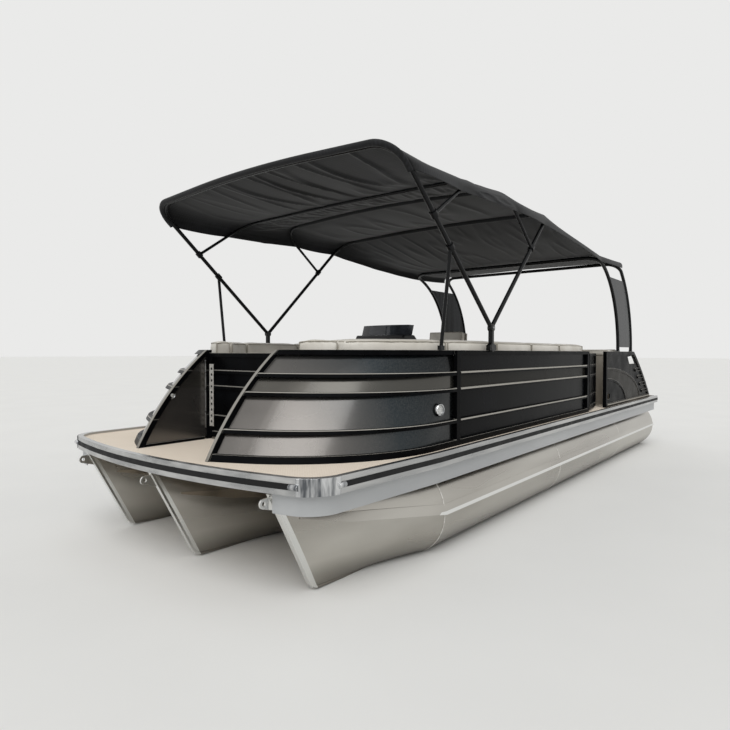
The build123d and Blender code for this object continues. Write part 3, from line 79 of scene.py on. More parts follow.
def srgb(hexCode):
    # sRGB hex to linear, as the shader sockets want it
    values = [int(hexCode[i : i + 2], 16) / 255 for i in (1, 3, 5)]
    return [v / 12.92 if v < 0.0405 else ((v + 0.055) / 1.055) ** 2.4 for v in values] + [1]


def addNode(tree, kind, feeds=(), out=0, **settings):
    # One node with its settings; feeds gives its inputs, in order or by name, a number, a hex colour
    # or another node's output
    node = tree.nodes.new("ShaderNode" + kind)
    for key, value in settings.items():
        setattr(node, key, value)
    for key, value in feeds.items() if isinstance(feeds, dict) else enumerate(feeds):
        if isinstance(value, bpy.types.NodeSocket):
            tree.links.new(value, node.inputs[key])
        else:
            node.inputs[key].default_value = srgb(value) if isinstance(value, str) else value
    return node.outputs[out]


finish = {}
twoColours = {"out": 2, "data_type": "RGBA"}  # settings of a Mix node that mixes two colours


def startMaterial(name, **sockets):
    # Principled surface; sockets that are the same all over are set here
    material = bpy.data.materials.new(name)
    material.use_nodes = True
    finish[name] = material
    tree = material.node_tree
    shader = tree.nodes["Principled BSDF"]
    for key, value in sockets.items():
        shader.inputs[key.replace("_", " ")].default_value = value
    return tree, shader, addNode(tree, "TexCoord", out="Object")


def patchesAndGrain(tree, place, spec):
    # Soft patches patchMm across and fine grain grainMm across, both drawn out by stretch
    made = []
    for size in (spec["patchMm"], spec["grainMm"]):
        scale = [1000 / size / s for s in spec.get("stretch", (1, 1, 1))]
        scaled = addNode(tree, "Mapping", {"Vector": place, "Scale": scale})
        made.append(addNode(tree, "TexNoise", {"Vector": scaled, "Scale": 1, "Detail": 3}))
    # Noise keeps mostly between 0.35 and 0.65, so that range is drawn out to 0 to 1
    patches = addNode(tree, "MapRange", (made[0], 0.35, 0.65))
    return patches, made[1]


def finishSurface(tree, shader, spec, colour, patches, relief):
    # Colour, a roughness that wanders with the patches, and bump of a real depth on rounded edges
    tree.links.new(colour, shader.inputs["Base Color"])
    low, high = spec["roughness"]
    rough = addNode(tree, "MapRange", {0: patches, 3: low, 4: high})
    tree.links.new(rough, shader.inputs["Roughness"])
    feeds = {"Height": relief, "Strength": 1, "Distance": spec["reliefMm"] / 1000}
    if spec.get("edgeMm"):
        feeds["Normal"] = addNode(tree, "Bevel", {"Radius": spec["edgeMm"] / 1000}, samples=4)
    tree.links.new(addNode(tree, "Bump", feeds), shader.inputs["Normal"])


# Each spec: what the part is made of, how it was finished and what that gives the eye
hardFinishes = {
    # Anodised aluminium extrusion: pale, drawn lines along the boat
    "anodisedAluminium": dict(dark="#a3a4a5", light="#c9c9c8", metallic=1, roughness=(0.24, 0.38),
                              patchMm=60, stretch=(12, 3, 1), grainMm=1.2, reliefMm=0.02, edgeMm=3),
    # Rubber insert: matt black extrusion, dusty in places
    "extrudedRubber": dict(dark="#080809", light="#131314", roughness=(0.55, 0.75), specular=0.3,
                           patchMm=90, grainMm=3, reliefMm=0.05),
    # Polished stainless corner casting: near mirror, with the slight waves of hand buffing
    "polishedStainless": dict(dark="#63666a", light="#d9dadb", metallic=1, roughness=(0.05, 0.11),
                              patchMm=26, stretch=(1, 1, 6), grainMm=22, reliefMm=0.5, edgeMm=4),
    # Plate between the arch's hoops, darkened by its coat: tall slow streaks of soft shine
    "brightAluminiumPlate": dict(dark="#0c0d0e", light="#2c2e30", metallic=0.3, roughness=(0.16, 0.26),
                                 patchMm=90, stretch=(1, 1, 12), grainMm=60, reliefMm=0.25, specular=0.05),
    # Painted aluminium skirt: neutral light grey, semi gloss
    "paintedSkirtGrey": dict(dark="#a6a8aa", light="#b6b8b9", metallic=0.3, roughness=(0.3, 0.42),
                             patchMm=300, stretch=(4, 1, 1), grainMm=2.5, reliefMm=0.02, edgeMm=1.5),
    # Rotomoulded polyethylene seat base: warm grey, fine texture
    "rotomouldedBase": dict(dark="#8f897e", light="#a29b90", roughness=(0.45, 0.6),
                            patchMm=200, grainMm=1.6, reliefMm=0.12, edgeMm=8),
    # ABS helm console: charcoal, leather-like mould grain
    "mouldedAbs": dict(dark="#111214", light="#1d1e20", roughness=(0.38, 0.5), specular=0.35,
                       patchMm=150, grainMm=1.8, reliefMm=0.08, edgeMm=8),
    # Sprayed cowling: deep gloss black under clear lacquer
    "lacqueredCowl": dict(dark="#060708", light="#0d0e10", roughness=(0.16, 0.26), specular=0.4,
                          patchMm=200, grainMm=4, reliefMm=0.02, edgeMm=14, coat=0.5),
    # Marine enamel on cast bracket: satin black, sand-cast pits
    "enamelledCasting": dict(dark="#0d0e10", light="#191a1d", roughness=(0.35, 0.5), specular=0.35,
                             patchMm=80, grainMm=2, reliefMm=0.15, edgeMm=3),
    # Ground stainless propeller: bright with turning marks
    "groundStainless": dict(dark="#8c8e90", light="#c3c4c5", metallic=1, roughness=(0.2, 0.35),
                            patchMm=30, grainMm=1.5, reliefMm=0.03, edgeMm=1),
    # Brushed stainless tube and strip: fine lines drawn up its length
    "brushedStainless": dict(dark="#8d8f91", light="#b9babb", metallic=1, roughness=(0.25, 0.4),
                             patchMm=25, stretch=(1, 1, 8), grainMm=1, reliefMm=0.02, edgeMm=1),
    # Marine powder coat on tube: satin black with faint orange peel
    "powderCoatTube": dict(dark="#08090a", light="#101113", roughness=(0.2, 0.32), specular=0.2,
                           patchMm=160, grainMm=2.5, reliefMm=0.03, edgeMm=2),
    # Acetal knuckles and knobs: plain moulded black, slightly greasy shine
    "mouldedAcetal": dict(dark="#09090a", light="#121213", roughness=(0.3, 0.42), specular=0.35,
                          patchMm=20, grainMm=1.5, reliefMm=0.05, edgeMm=2),
    # Weld beads and the scoured hinge leaf: bright rippled aluminium
    "weldedAluminium": dict(dark="#bdbab4", light="#e6e4df", metallic=0.4, roughness=(0.3, 0.45),
                            patchMm=12, grainMm=5, reliefMm=0.6),
}
for name, spec in hardFinishes.items():
    tree, shader, place = startMaterial(
        name, Metallic=spec.get("metallic", 0), Specular_IOR_Level=spec.get("specular", 0.5),
        Coat_Weight=spec.get("coat", 0), Coat_Roughness=0.06, Coat_IOR=1.3,
    )
    patches, fine = patchesAndGrain(tree, place, spec)
    colour = addNode(tree, "Mix", {0: patches, 6: spec["dark"], 7: spec["light"]}, **twoColours)
    finishSurface(tree, shader, spec, colour, patches, fine)
print("plain finishes:", len(finish))

# Powder coat on fence rails and wings: the same satin black, with a painted pale highlight where an edge
# faces the sky, and a greyer matt band on the stern wings between two quarter ellipses
railCoat = {
    "dark": "#060607", "light": "#0b0c0e", "paintedHighlight": "#a8a59e", "band": "#2f2d2a", "specular": 0.025,
    "roughness": (0.26, 0.4), "patchMm": 160, "grainMm": 2.5, "reliefMm": 0.03, "edgeMm": 4,
    "bandCentre": (-1.404, 0, 0.680), "outer": (1.560, 0.450), "inner": (0.860, 0.330),
    # Painted highlight, as the ends of a range and what it gives there: edges that turn up, and the front
    # post's face
    "edgeHighlight": (0.05, 0.25, 0, 0.9), "frontPost": (0.767, 0, 0.642),
    "frontPostHighlight": (0.965, 0.985, 0, 0.75),
    # Painted highlight lines on the caps of the side rails, the thin lips of the bow's rails, fainter by
    # the gate, and the wing's foot
    "capHeights": (0.852, 1.062, 1.172), "capHalf": 0.0055, "capSide": 1.10, "capEnds": (-0.70, 1.985),
    "lipHalf": 0.0022, "lipFrom": 2.045, "gateLip": (0.36, 0.38, 0.3, 1),
    "wingFoot": (0.709, 0.007, -1.42),
}
tree, shader, place = startMaterial("powderCoatRail", Metallic=0, Specular_IOR_Level=railCoat["specular"])
patches, fine = patchesAndGrain(tree, place, railCoat)
colour = addNode(tree, "Mix", {0: patches, 6: railCoat["dark"], 7: railCoat["light"]}, **twoColours)
offset = addNode(tree, "VectorMath", (place, railCoat["bandCentre"]), operation="SUBTRACT")
rings = []
for reach, height in (railCoat["outer"], railCoat["inner"]):
    squashed = addNode(tree, "VectorMath", (offset, (1 / reach, 0, 1 / height)), operation="MULTIPLY")
    away = addNode(tree, "VectorMath", (squashed,), out="Value", operation="LENGTH")
    rings.append(addNode(tree, "Math", (away, 1), operation="LESS_THAN"))
inBand = addNode(tree, "Math", (rings[0], rings[1]), operation="SUBTRACT")
alongBoat = addNode(tree, "SeparateXYZ", (offset,), out="X")
aft = addNode(tree, "Math", (alongBoat, 0), operation="LESS_THAN")
inBand = addNode(tree, "Math", (inBand, aft), operation="MULTIPLY")
colour = addNode(tree, "Mix", {0: inBand, 6: colour, 7: railCoat["band"]}, **twoColours)
rounded = addNode(tree, "Bevel", {"Radius": railCoat["edgeMm"] / 1000}, samples=8)
plain = addNode(tree, "NewGeometry", out="Normal")
turned = addNode(tree, "VectorMath", (rounded, plain), operation="SUBTRACT")
upward = addNode(tree, "SeparateXYZ", (turned,), out="Z")
# Painted highlight: pale where a rounded edge turns up to the sky, and on the front post's face
paintedHighlight = addNode(tree, "MapRange", (upward, *railCoat["edgeHighlight"]))
forward = railCoat["frontPost"]
facing = addNode(tree, "VectorMath", (plain, forward), out="Value", operation="DOT_PRODUCT")
facing = addNode(tree, "MapRange", (facing, *railCoat["frontPostHighlight"]))
paintedHighlight = addNode(tree, "Math", (paintedHighlight, facing), operation="MAXIMUM")
axisX, axisY, axisZ = (addNode(tree, "SeparateXYZ", (place,), out=axis) for axis in "XYZ")
sideways = addNode(tree, "Math", (axisY,), operation="ABSOLUTE")
capped = addNode(tree, "Math", (sideways, railCoat["capSide"]), operation="GREATER_THAN")
for end, test in zip(railCoat["capEnds"], ("GREATER_THAN", "LESS_THAN")):
    within = addNode(tree, "Math", (axisX, end), operation=test)
    capped = addNode(tree, "Math", (capped, within), operation="MULTIPLY")
ahead = addNode(tree, "Math", (axisX, railCoat["lipFrom"]), operation="GREATER_THAN")
beside = addNode(tree, "MapRange", (sideways, *railCoat["gateLip"]))
lipped = addNode(tree, "Math", (ahead, beside), operation="MULTIPLY")
# Painted highlight lines along the rail caps, the bow rails' lips and the wing's foot
for height in railCoat["capHeights"]:
    near = addNode(tree, "Math", (axisZ, height, railCoat["capHalf"]), operation="COMPARE")
    near = addNode(tree, "Math", (near, capped), operation="MULTIPLY")
    lip = height + railCoat["capHalf"] - railCoat["lipHalf"]
    thin = addNode(tree, "Math", (axisZ, lip, railCoat["lipHalf"]), operation="COMPARE")
    thin = addNode(tree, "Math", (thin, lipped), operation="MULTIPLY")
    near = addNode(tree, "Math", (near, thin), operation="MAXIMUM")
    paintedHighlight = addNode(tree, "Math", (paintedHighlight, near), operation="MAXIMUM")
footHigh, footHalf, footFrom = railCoat["wingFoot"]
sill = addNode(tree, "Math", (axisZ, footHigh, footHalf), operation="COMPARE")
behind = addNode(tree, "Math", (axisX, footFrom), operation="LESS_THAN")
sill = addNode(tree, "Math", (sill, behind), operation="MULTIPLY")
paintedHighlight = addNode(tree, "Math", (paintedHighlight, sill), operation="MAXIMUM")
# Mixes the painted highlight into the black coat
colour = addNode(tree, "Mix", {0: paintedHighlight, 6: colour, 7: railCoat["paintedHighlight"]}, **twoColours)
finishSurface(tree, shader, railCoat, colour, patches, fine)

# Mill-finish aluminium tubes: long rolling marks, lighter stem bars, a painted highlight on the spray
# rails' lip, and a painted reflection of water darkening the foot
tube = {
    "dark": "#a5a19a", "light": "#c3c0b9", "bright": "#dededb", "foot": "#67625a",
    "roughness": (0.24, 0.36), "patchMm": 420, "grainMm": 14, "stretch": (6, 1, 1), "reliefMm": 0.08,
    "edgeMm": 2,
    "footReflection": (0, 0.17, 0.75, 0), "sprayLip": 0.298, "sprayOut": 0.3055, "tubeY": 0.94,
    "stemFoot": (3.172, 0.02), "stemLean": 0.5347, "barWidth": 0.032, "centreAhead": 0.086,
}
tree, shader, place = startMaterial("rolledAluminium", Metallic=1)
patches, marks = patchesAndGrain(tree, place, tube)
colour = addNode(tree, "Mix", {0: patches, 6: tube["dark"], 7: tube["light"]}, **twoColours)
axisX, axisY, axisZ = (addNode(tree, "SeparateXYZ", (place,), out=axis) for axis in "XYZ")
# Painted reflection of water: the tube darkens towards its foot
foot = addNode(tree, "MapRange", (axisZ, *tube["footReflection"]))
colour = addNode(tree, "Mix", {0: foot, 6: colour, 7: tube["foot"]}, **twoColours)
sideways = addNode(tree, "Math", (axisY,), operation="ABSOLUTE")
isCentre = addNode(tree, "Math", (sideways, tube["tubeY"] / 2), operation="LESS_THAN")
footX, footZ = tube["stemFoot"]
stemBack = footX - tube["stemLean"] * footZ - tube["barWidth"]
stemLine = addNode(tree, "Math", (axisZ, tube["stemLean"], stemBack), operation="MULTIPLY_ADD")
stemLine = addNode(tree, "Math", (isCentre, tube["centreAhead"], stemLine), operation="MULTIPLY_ADD")
onStem = addNode(tree, "Math", (axisX, stemLine), operation="GREATER_THAN")
offOuter = addNode(tree, "Math", (sideways, tube["tubeY"]), operation="SUBTRACT")
offOuter = addNode(tree, "Math", (offOuter,), operation="ABSOLUTE")
fromTube = addNode(tree, "Mix", {"Factor": isCentre, 2: offOuter, 3: sideways}, data_type="FLOAT")
proud = addNode(tree, "Math", (fromTube, tube["sprayOut"]), operation="GREATER_THAN")
atLip = addNode(tree, "Math", (axisZ, tube["sprayLip"]), operation="LESS_THAN")
proud = addNode(tree, "Math", (proud, atLip), operation="MULTIPLY")
# Lighter stem bars, and a painted highlight along the spray rail's lower lip
bright = addNode(tree, "Math", (onStem, proud), operation="MAXIMUM")
colour = addNode(tree, "Mix", {0: bright, 6: colour, 7: tube["bright"]}, **twoColours)
finishSurface(tree, shader, tube, colour, patches, marks)

# Panel paint: bow panels carry a painted reflection, gunmetal at the gate fading to blue-black at the post,
# with metallic flake; the band between the two middle rails is flat olive grey; gate walls are satin black
panelPaint = {
    "gate": "#696663", "turn": "#2d3438", "post": "#0b1013", "band": "#55534e", "wall": "#0b0c0c",
    "side": ("#050607", "#0c0d10"), "sideBand": "#272622", "specular": 0.03,
    "flake": "#8b8783", "flakeMm": 6, "flakeRange": (0.4, 0.7, 0, 0.12),
    "reflectionFadeX": (2.05, 2.6, 3.05), "bandZ": (1.055, 1.165), "bandShare": 0.8, "wallY": 0.36,
    "roughness": (0.18, 0.3), "patchMm": 450, "grainMm": 350, "reliefMm": 1.0, "edgeMm": 1,
}
for name, metallic, coat in (("metallicPanelPaint", 0.8, 0.5), ("glossPanelPaint", 0, 0.02)):
    tree, shader, place = startMaterial(
        name, Metallic=metallic, Specular_IOR_Level=panelPaint["specular"],
        Coat_Weight=coat, Coat_Roughness=0.05, Coat_IOR=1.3,
    )
    patches, waves = patchesAndGrain(tree, place, panelPaint)
    axisX, axisY, axisZ = (addNode(tree, "SeparateXYZ", (place,), out=axis) for axis in "XYZ")
    if metallic:
        band = panelPaint["band"]
        # Painted reflection: gunmetal at the gate fading through a darker turn to blue-black at the post
        near, middle, far = panelPaint["reflectionFadeX"]
        fade = addNode(tree, "MapRange", (axisX, near, middle))
        colour = addNode(tree, "Mix", {0: fade, 6: panelPaint["post"], 7: panelPaint["turn"]}, **twoColours)
        fade = addNode(tree, "MapRange", (axisX, middle, far))
        colour = addNode(tree, "Mix", {0: fade, 6: colour, 7: panelPaint["gate"]}, **twoColours)
        scale = 1000 / panelPaint["flakeMm"]
        flake = addNode(tree, "TexNoise", {"Vector": place, "Scale": scale, "Detail": 2})
        flake = addNode(tree, "MapRange", (flake, *panelPaint["flakeRange"]))
        colour = addNode(tree, "Mix", {0: flake, 6: colour, 7: panelPaint["flake"]}, **twoColours)
    else:
        band = panelPaint["sideBand"]
        dark, light = panelPaint["side"]
        colour = addNode(tree, "Mix", {0: patches, 6: dark, 7: light}, **twoColours)
    inBand = panelPaint["bandShare"]
    for height, test in zip(panelPaint["bandZ"], ("GREATER_THAN", "LESS_THAN")):
        within = addNode(tree, "Math", (axisZ, height), operation=test)
        inBand = addNode(tree, "Math", (inBand, within), operation="MULTIPLY")
    colour = addNode(tree, "Mix", {0: inBand, 6: colour, 7: band}, **twoColours)
    sideways = addNode(tree, "Math", (axisY,), operation="ABSOLUTE")
    atWall = addNode(tree, "Math", (sideways, panelPaint["wallY"]), operation="LESS_THAN")
    colour = addNode(tree, "Mix", {0: atWall, 6: colour, 7: panelPaint["wall"]}, **twoColours)
    finishSurface(tree, shader, panelPaint, colour, patches, waves)

# Woven vinyl deck: flat yarns in a basket weave, drawn at 9 mm so that it shows, soiled in patches
deckWeave = {
    "light": "#f5e9da", "dark": "#e6d8c5", "soil": "#d6c8b4", "yarnMm": 9, "roughness": (0.62, 0.75),
    "patchMm": 700, "grainMm": 2.5, "reliefMm": 0.5, "yarnShare": 0.35, "fibreShare": 0.4, "soilShare": 0.3,
}
tree, shader, place = startMaterial("wovenVinylDeck", Metallic=0, Specular_IOR_Level=0.35)
patches, fibres = patchesAndGrain(tree, place, deckWeave)
squares = addNode(tree, "TexChecker", {"Vector": place, "Scale": 1000 / deckWeave["yarnMm"]}, out="Fac")
yarn = addNode(tree, "Math", (squares, deckWeave["yarnShare"]), operation="MULTIPLY")
yarn = addNode(tree, "Math", (fibres, deckWeave["fibreShare"], yarn), operation="MULTIPLY_ADD")
colour = addNode(tree, "Mix", {0: yarn, 6: deckWeave["light"], 7: deckWeave["dark"]}, **twoColours)
soil = addNode(tree, "Math", (patches, deckWeave["soilShare"]), operation="MULTIPLY")
colour = addNode(tree, "Mix", {0: soil, 6: colour, 7: deckWeave["soil"]}, **twoColours)
finishSurface(tree, shader, deckWeave, colour, patches, squares)

# Marine vinyl on foam: fine leather grain, soft sheen, faint soiling; the piping is darker vinyl
vinyls = {
    "marineVinyl": dict(light="#dfdbd2", dark="#cdc8be", soil="#b4ada1"),
    "pipingVinyl": dict(light="#aaa498", dark="#999386", soil="#857f74"),
}
vinylSurface = {
    "roughness": (0.42, 0.56), "patchMm": 260, "grainMm": 90, "reliefMm": 0.25,
    "pebbleMm": 4.5, "stains": (0.62, 0.85, 0, 0.5),
}
for name, tones in vinyls.items():
    tree, shader, place = startMaterial(name, Metallic=0, Sheen_Weight=0.12, Sheen_Roughness=0.4)
    patches, stains = patchesAndGrain(tree, place, vinylSurface)
    pebbles = addNode(tree, "TexVoronoi", {"Vector": place, "Scale": 1000 / vinylSurface["pebbleMm"]})
    colour = addNode(tree, "Mix", {0: patches, 6: tones["light"], 7: tones["dark"]}, **twoColours)
    soil = addNode(tree, "MapRange", (stains, *vinylSurface["stains"]))
    colour = addNode(tree, "Mix", {0: soil, 6: colour, 7: tones["soil"]}, **twoColours)
    finishSurface(tree, shader, vinylSurface, colour, patches, pebbles)

# Solution-dyed acrylic canopy: plain weave, sun-faded. A wave texture turns 20 radians per unit of
# scale and here one in 4 mm, which draws the threads 25 mm apart so that they show
cloth = {
    "light": "#1e1f22", "dark": "#0d0e0f", "faded": "#27282b", "radianMm": 4, "distortion": 0.4,
    "roughness": (0.75, 0.88), "patchMm": 600, "grainMm": 60, "reliefMm": 0.3,
}
tree, shader, place = startMaterial(
    "wovenAcrylic", Metallic=0, Specular_IOR_Level=0.25, Sheen_Weight=0.12, Sheen_Roughness=0.5
)
patches, slubs = patchesAndGrain(tree, place, cloth)
threads = {"Vector": place, "Scale": 1000 / cloth["radianMm"] / 20, "Distortion": cloth["distortion"]}
warp, weft = (addNode(tree, "TexWave", threads, out="Fac", bands_direction=way) for way in "XY")
weave = addNode(tree, "Math", (warp, weft), operation="MULTIPLY")
colour = addNode(tree, "Mix", {0: weave, 6: cloth["dark"], 7: cloth["light"]}, **twoColours)
fade = addNode(tree, "Math", (patches, slubs), operation="MULTIPLY")
colour = addNode(tree, "Mix", {0: fade, 6: colour, 7: cloth["faded"]}, **twoColours)
finishSurface(tree, shader, cloth, colour, patches, weave)

# Clear plastics: cast smoked acrylic for the screen, polycarbonate lens with moulded prisms
smoke = {"dark": "#1d1f22", "light": "#34373c", "roughness": (0.03, 0.1), "patchMm": 120, "grainMm": 60,
         "reliefMm": 0.05, "edgeMm": 2}
tree, shader, place = startMaterial("smokedAcrylic", Metallic=0, IOR=1.49, Transmission_Weight=0.75)
patches, ripples = patchesAndGrain(tree, place, smoke)
colour = addNode(tree, "Mix", {0: patches, 6: smoke["dark"], 7: smoke["light"]}, **twoColours)
finishSurface(tree, shader, smoke, colour, patches, ripples)
lens = {"bright": "#e4e4df", "deep": "#7f8285", "roughness": (0.1, 0.16), "patchMm": 30, "grainMm": 8,
        "reliefMm": 0.6, "prismMm": 8}
tree, shader, place = startMaterial("polycarbonateLens", Metallic=0, IOR=1.58, Coat_Weight=1)
patches, ripples = patchesAndGrain(tree, place, lens)
prisms = addNode(tree, "TexVoronoi", {"Vector": place, "Scale": 1000 / lens["prismMm"]})
colour = addNode(tree, "Mix", {0: prisms, 6: lens["bright"], 7: lens["deep"]}, **twoColours)
finishSurface(tree, shader, lens, colour, patches, prisms)

slotFinish = {
    "pontoon_aluminium": "rolledAluminium",
    "deck_vinyl": "wovenVinylDeck",
    "frame_black": "powderCoatRail",
    "bow_silver": "metallicPanelPaint",
    "side_black": "glossPanelPaint",
    "rail_aluminium": "anodisedAluminium",
    "insert_rubber": "extrudedRubber",
    "corner_chrome": "polishedStainless",
    "skirt_grey": "paintedSkirtGrey",
    "canopy_cloth": "wovenAcrylic",
    "seat_vinyl": "marineVinyl",
    "seat_base": "rotomouldedBase",
    "helm_plastic": "mouldedAbs",
    "screen_smoke": "smokedAcrylic",
    "motor_cowl": "lacqueredCowl",
    "motor_bracket": "enamelledCasting",
    "propeller_steel": "groundStainless",
    "lamp_lens": "polycarbonateLens",
    "plate_bright": "brightAluminiumPlate",
}
roundTubes = ("bimini", "arch")
for row in frame["record"]["subparts"]:
    name = slotFinish[row["material_slot"]]
    if name == "powderCoatRail" and row["node"].startswith(roundTubes):
        name = "powderCoatTube"
    mesh = nodes[row["node"]].data
    mesh.materials.clear()
    mesh.materials.append(finish[name])
nodes["chair_pedestal"].data.materials[0] = finish["brushedStainless"]

# Canopy: one sheet stretched over four bows and the two hoops, pulled down at its sides
canopy = {
    # Stations run aft: a point of the bow's plane, its way up, corner height, crown, bend, side drop
    "stations": (
        ((1.580, 1.487), (0.7634, 0.6459), 1.5997, 0.068, 0.200, 0.232),
        ((2.357, 2.165), (-0.8282, 0.5604), 0.6378, 0.068, 0.200, 0.268),
        ((0.835, 2.190), (0.8138, 0.5811), 0.6370, 0.068, 0.200, 0.258),
        ((1.555, 1.487), (-0.7279, 0.6857), 1.5583, 0.068, 0.200, 0.219),
        ((-1.074, 0.0), (0.0, 1.0), 2.3713, 0.017, 0.050, 0.075),
        ((-1.910, 0.0), (0.0, 1.0), 2.3983, 0.017, 0.050, 0.075),
    ),
    "half": 1.2275, "crownBend": 11.0, "bendSteps": 12, "crownSteps": 24, "across": 260, "between": 24,
    "sag": 0.022, "arc": 2.9, "thick": 0.002,
    # Each wrinkle: spacing across and along, height and sharpness; one row per bay from the bow
    "wrinkles": (
        ((0.16, 1.0, 0.020, 2.2), (0.42, 2.2, 0.012, 0)),
        ((0.075, 0.35, 0.012, 1.6), (0.2, 0.9, 0.010, 0)),
        ((0.22, 0.8, 0.010, 1.6), (0.42, 2.2, 0.012, 0)),
        ((0.16, 0.8, 0.010, 1.6), (0.42, 2.2, 0.014, 0)),
        ((0.42, 2.2, 0.014, 0),),
    ),
    # How steeply a crease falls off, the power that fades it out at the bows, the calm part from where
    # to where and by how much, and the sides: where they start, over what span, and how far they turn
    "creaseFall": 3.4, "fade": 0.6, "calm": (0.25, 0.75, 0.75), "sides": (1.15, 0.3, 0.8), "seed": 11,
}


def sectionPoints(half, corner, lift, bend, drop, count):
    # Half of the cross section from the hem up over the corner to the crown, then mirrored
    slope = math.atan2(lift, half)
    turn = math.pi / 2 - slope
    cut = bend * math.tan(turn / 2)
    path = [(half, corner - drop)]
    for step in range(canopy["bendSteps"] + 1):
        angle = turn * step / canopy["bendSteps"]
        path.append((half - bend * (1 - math.cos(angle)), corner - cut + bend * math.sin(angle)))
    flat = canopy["crownBend"] * math.tan(slope)
    for step in range(1, canopy["crownSteps"] + 1):
        y = path[canopy["bendSteps"] + 1][0] * (1 - step / canopy["crownSteps"])
        if y > flat:
            z = corner + lift * (1 - y / half)
        else:
            top = corner + lift - canopy["crownBend"] * (1 / math.cos(slope) - 1)
            z = top - y * y / 2 / canopy["crownBend"]
        path.append((y, z))
    path += [(-y, z) for y, z in reversed(path[:-1])]
    lengths = [0]
    for a, b in zip(path, path[1:]):
        lengths.append(lengths[-1] + math.dist(a, b))
    points, at = [], 0
    for k in range(count + 1):
        goal = lengths[-1] * k / count
        while at < len(path) - 2 and lengths[at + 1] < goal:
            at += 1
        share = (goal - lengths[at]) / (lengths[at + 1] - lengths[at])
        points.append([a + (b - a) * share for a, b in zip(path[at], path[at + 1])])
    return points


def stationRow(station, count):
    (footX, footZ), (run, rise), corner, lift, bend, drop = station
    return [
        Vector((footX + up * run, y, footZ + up * rise))
        for y, up in sectionPoints(canopy["half"], corner, lift, bend, drop, count)
    ]


def placeObject(name, data, materialName=None):
    # Puts a mesh, a curve or a lamp in the scene
    if materialName:
        data.materials.append(finish[materialName])
    placed = bpy.data.objects.new(name, data)
    scene.collection.objects.link(placed)
    return placed


def meshPiece(name, vertices, faces, materialName, smooth=True):
    mesh = bpy.data.meshes.new(name)
    mesh.from_pydata(vertices, [], faces)
    mesh.update()
    if smooth:
        mesh.shade_smooth()
    return placeObject(name, mesh, materialName)


def gridFaces(rows, columns, closed=False):
    # Quads of a grid of vertices; closed joins the last column to the first
    faces = []
    for start in range(0, (rows - 1) * columns, columns):
        for c in range(columns if closed else columns - 1):
            here, beyond = start + c, start + (c + 1) % columns
            faces.append((here, beyond, beyond + columns, here + columns))
    return faces


def wrinkleHeight(s, x, bay):
    # Broad billows and sharp creases that run fore and aft; the first bay's starboard side lies calm
    height = 0
    for wide, long, deep, sharp in canopy["wrinkles"][min(bay, len(canopy["wrinkles"]) - 1)]:
        value = noise.noise(Vector((s / wide, x / long, canopy["seed"] + wide)))
        if sharp:
            value = max(0, 1 - abs(value) * canopy["creaseFall"]) ** sharp
        height += deep * value
    if bay == 0:
        low, high, most = canopy["calm"]
        height *= 1 - most * min(1, max(0, (s - low) / (high - low)))
    return height


stationRows = [stationRow(s, canopy["across"]) for s in canopy["stations"]]
sheetRows = []
sideFrom, sideSpan, sideTurn = canopy["sides"]
for bay, (first, second) in enumerate(zip(stationRows, stationRows[1:])):
    span = (first[len(first) // 2] - second[len(second) // 2]).length
    for step in range(canopy["between"]):
        t = step / canopy["between"]
        pull = 4 * t * (1 - t)
        row = []
        for k, (a, b) in enumerate(zip(first, second)):
            s = (k / canopy["across"] - 0.5) * canopy["arc"]
            side = min(max(0, abs(s) - sideFrom) / sideSpan, 1)
            point = a.lerp(b, t)
            sink = canopy["sag"] * pull * span + pull ** canopy["fade"] * wrinkleHeight(s, point.x, bay)
            row.append(point + Vector((0, math.copysign(side, -s) * sink, -(1 - sideTurn * side) * sink)))
        sheetRows.append(row)
sheetRows.append(stationRows[-1])
columns = canopy["across"] + 1
canopyCover = meshPiece(
    "canopyCover", [p for row in sheetRows for p in row], gridFaces(len(sheetRows), columns), "wovenAcrylic"
)
solid = canopyCover.modifiers.new("clothThickness", "SOLIDIFY")
solid.thickness, solid.offset = canopy["thick"], 0
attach(canopyCover, "hull")
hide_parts("canopy")

# Pockets sewn round the bows: the front one is the sheet's rolled front edge, hem to hem, so that
# its reach is wider than the sheet
pocket = {"reach": (9, 0.98, 0.98, 1.02), "tubes": (0.016, 0.0125, 0.0125, 0.016), "slack": 0.005,
          "drop": (0.003, 0.0062, 0.0062, 0.0062), "steps": 14, "every": 2}
pocketVertices, pocketFaces = [], []
for row, station, reach, tubeRadius, drop in zip(
    stationRows, canopy["stations"], pocket["reach"], pocket["tubes"], pocket["drop"]
):
    run, rise = station[1]
    flat = Vector((rise, 0, -run))
    line = [p for p in row if abs(p.y) <= reach][:: pocket["every"]]
    start = len(pocketVertices)
    for k, point in enumerate(line):
        tangent = (line[min(k + 1, len(line) - 1)] - line[max(k - 1, 0)]).normalized()
        inward = tangent.cross(flat).normalized()
        if inward.dot(Vector((0, 0, -1))) - 2 * inward.y * point.y < 0:
            inward = -inward
        middle = point + inward * (tubeRadius + drop)
        for step in range(pocket["steps"]):
            turn = 2 * math.pi * step / pocket["steps"]
            ring = flat * math.cos(turn) + inward * math.sin(turn)
            pocketVertices.append(middle + ring * (tubeRadius + pocket["slack"]))
    pocketFaces += [
        tuple(start + v for v in quad) for quad in gridFaces(len(line), pocket["steps"], closed=True)
    ]
bowPockets = meshPiece("bowPockets", pocketVertices, pocketFaces, "wovenAcrylic")
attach(bowPockets, "hull")
print("canopy sewn")

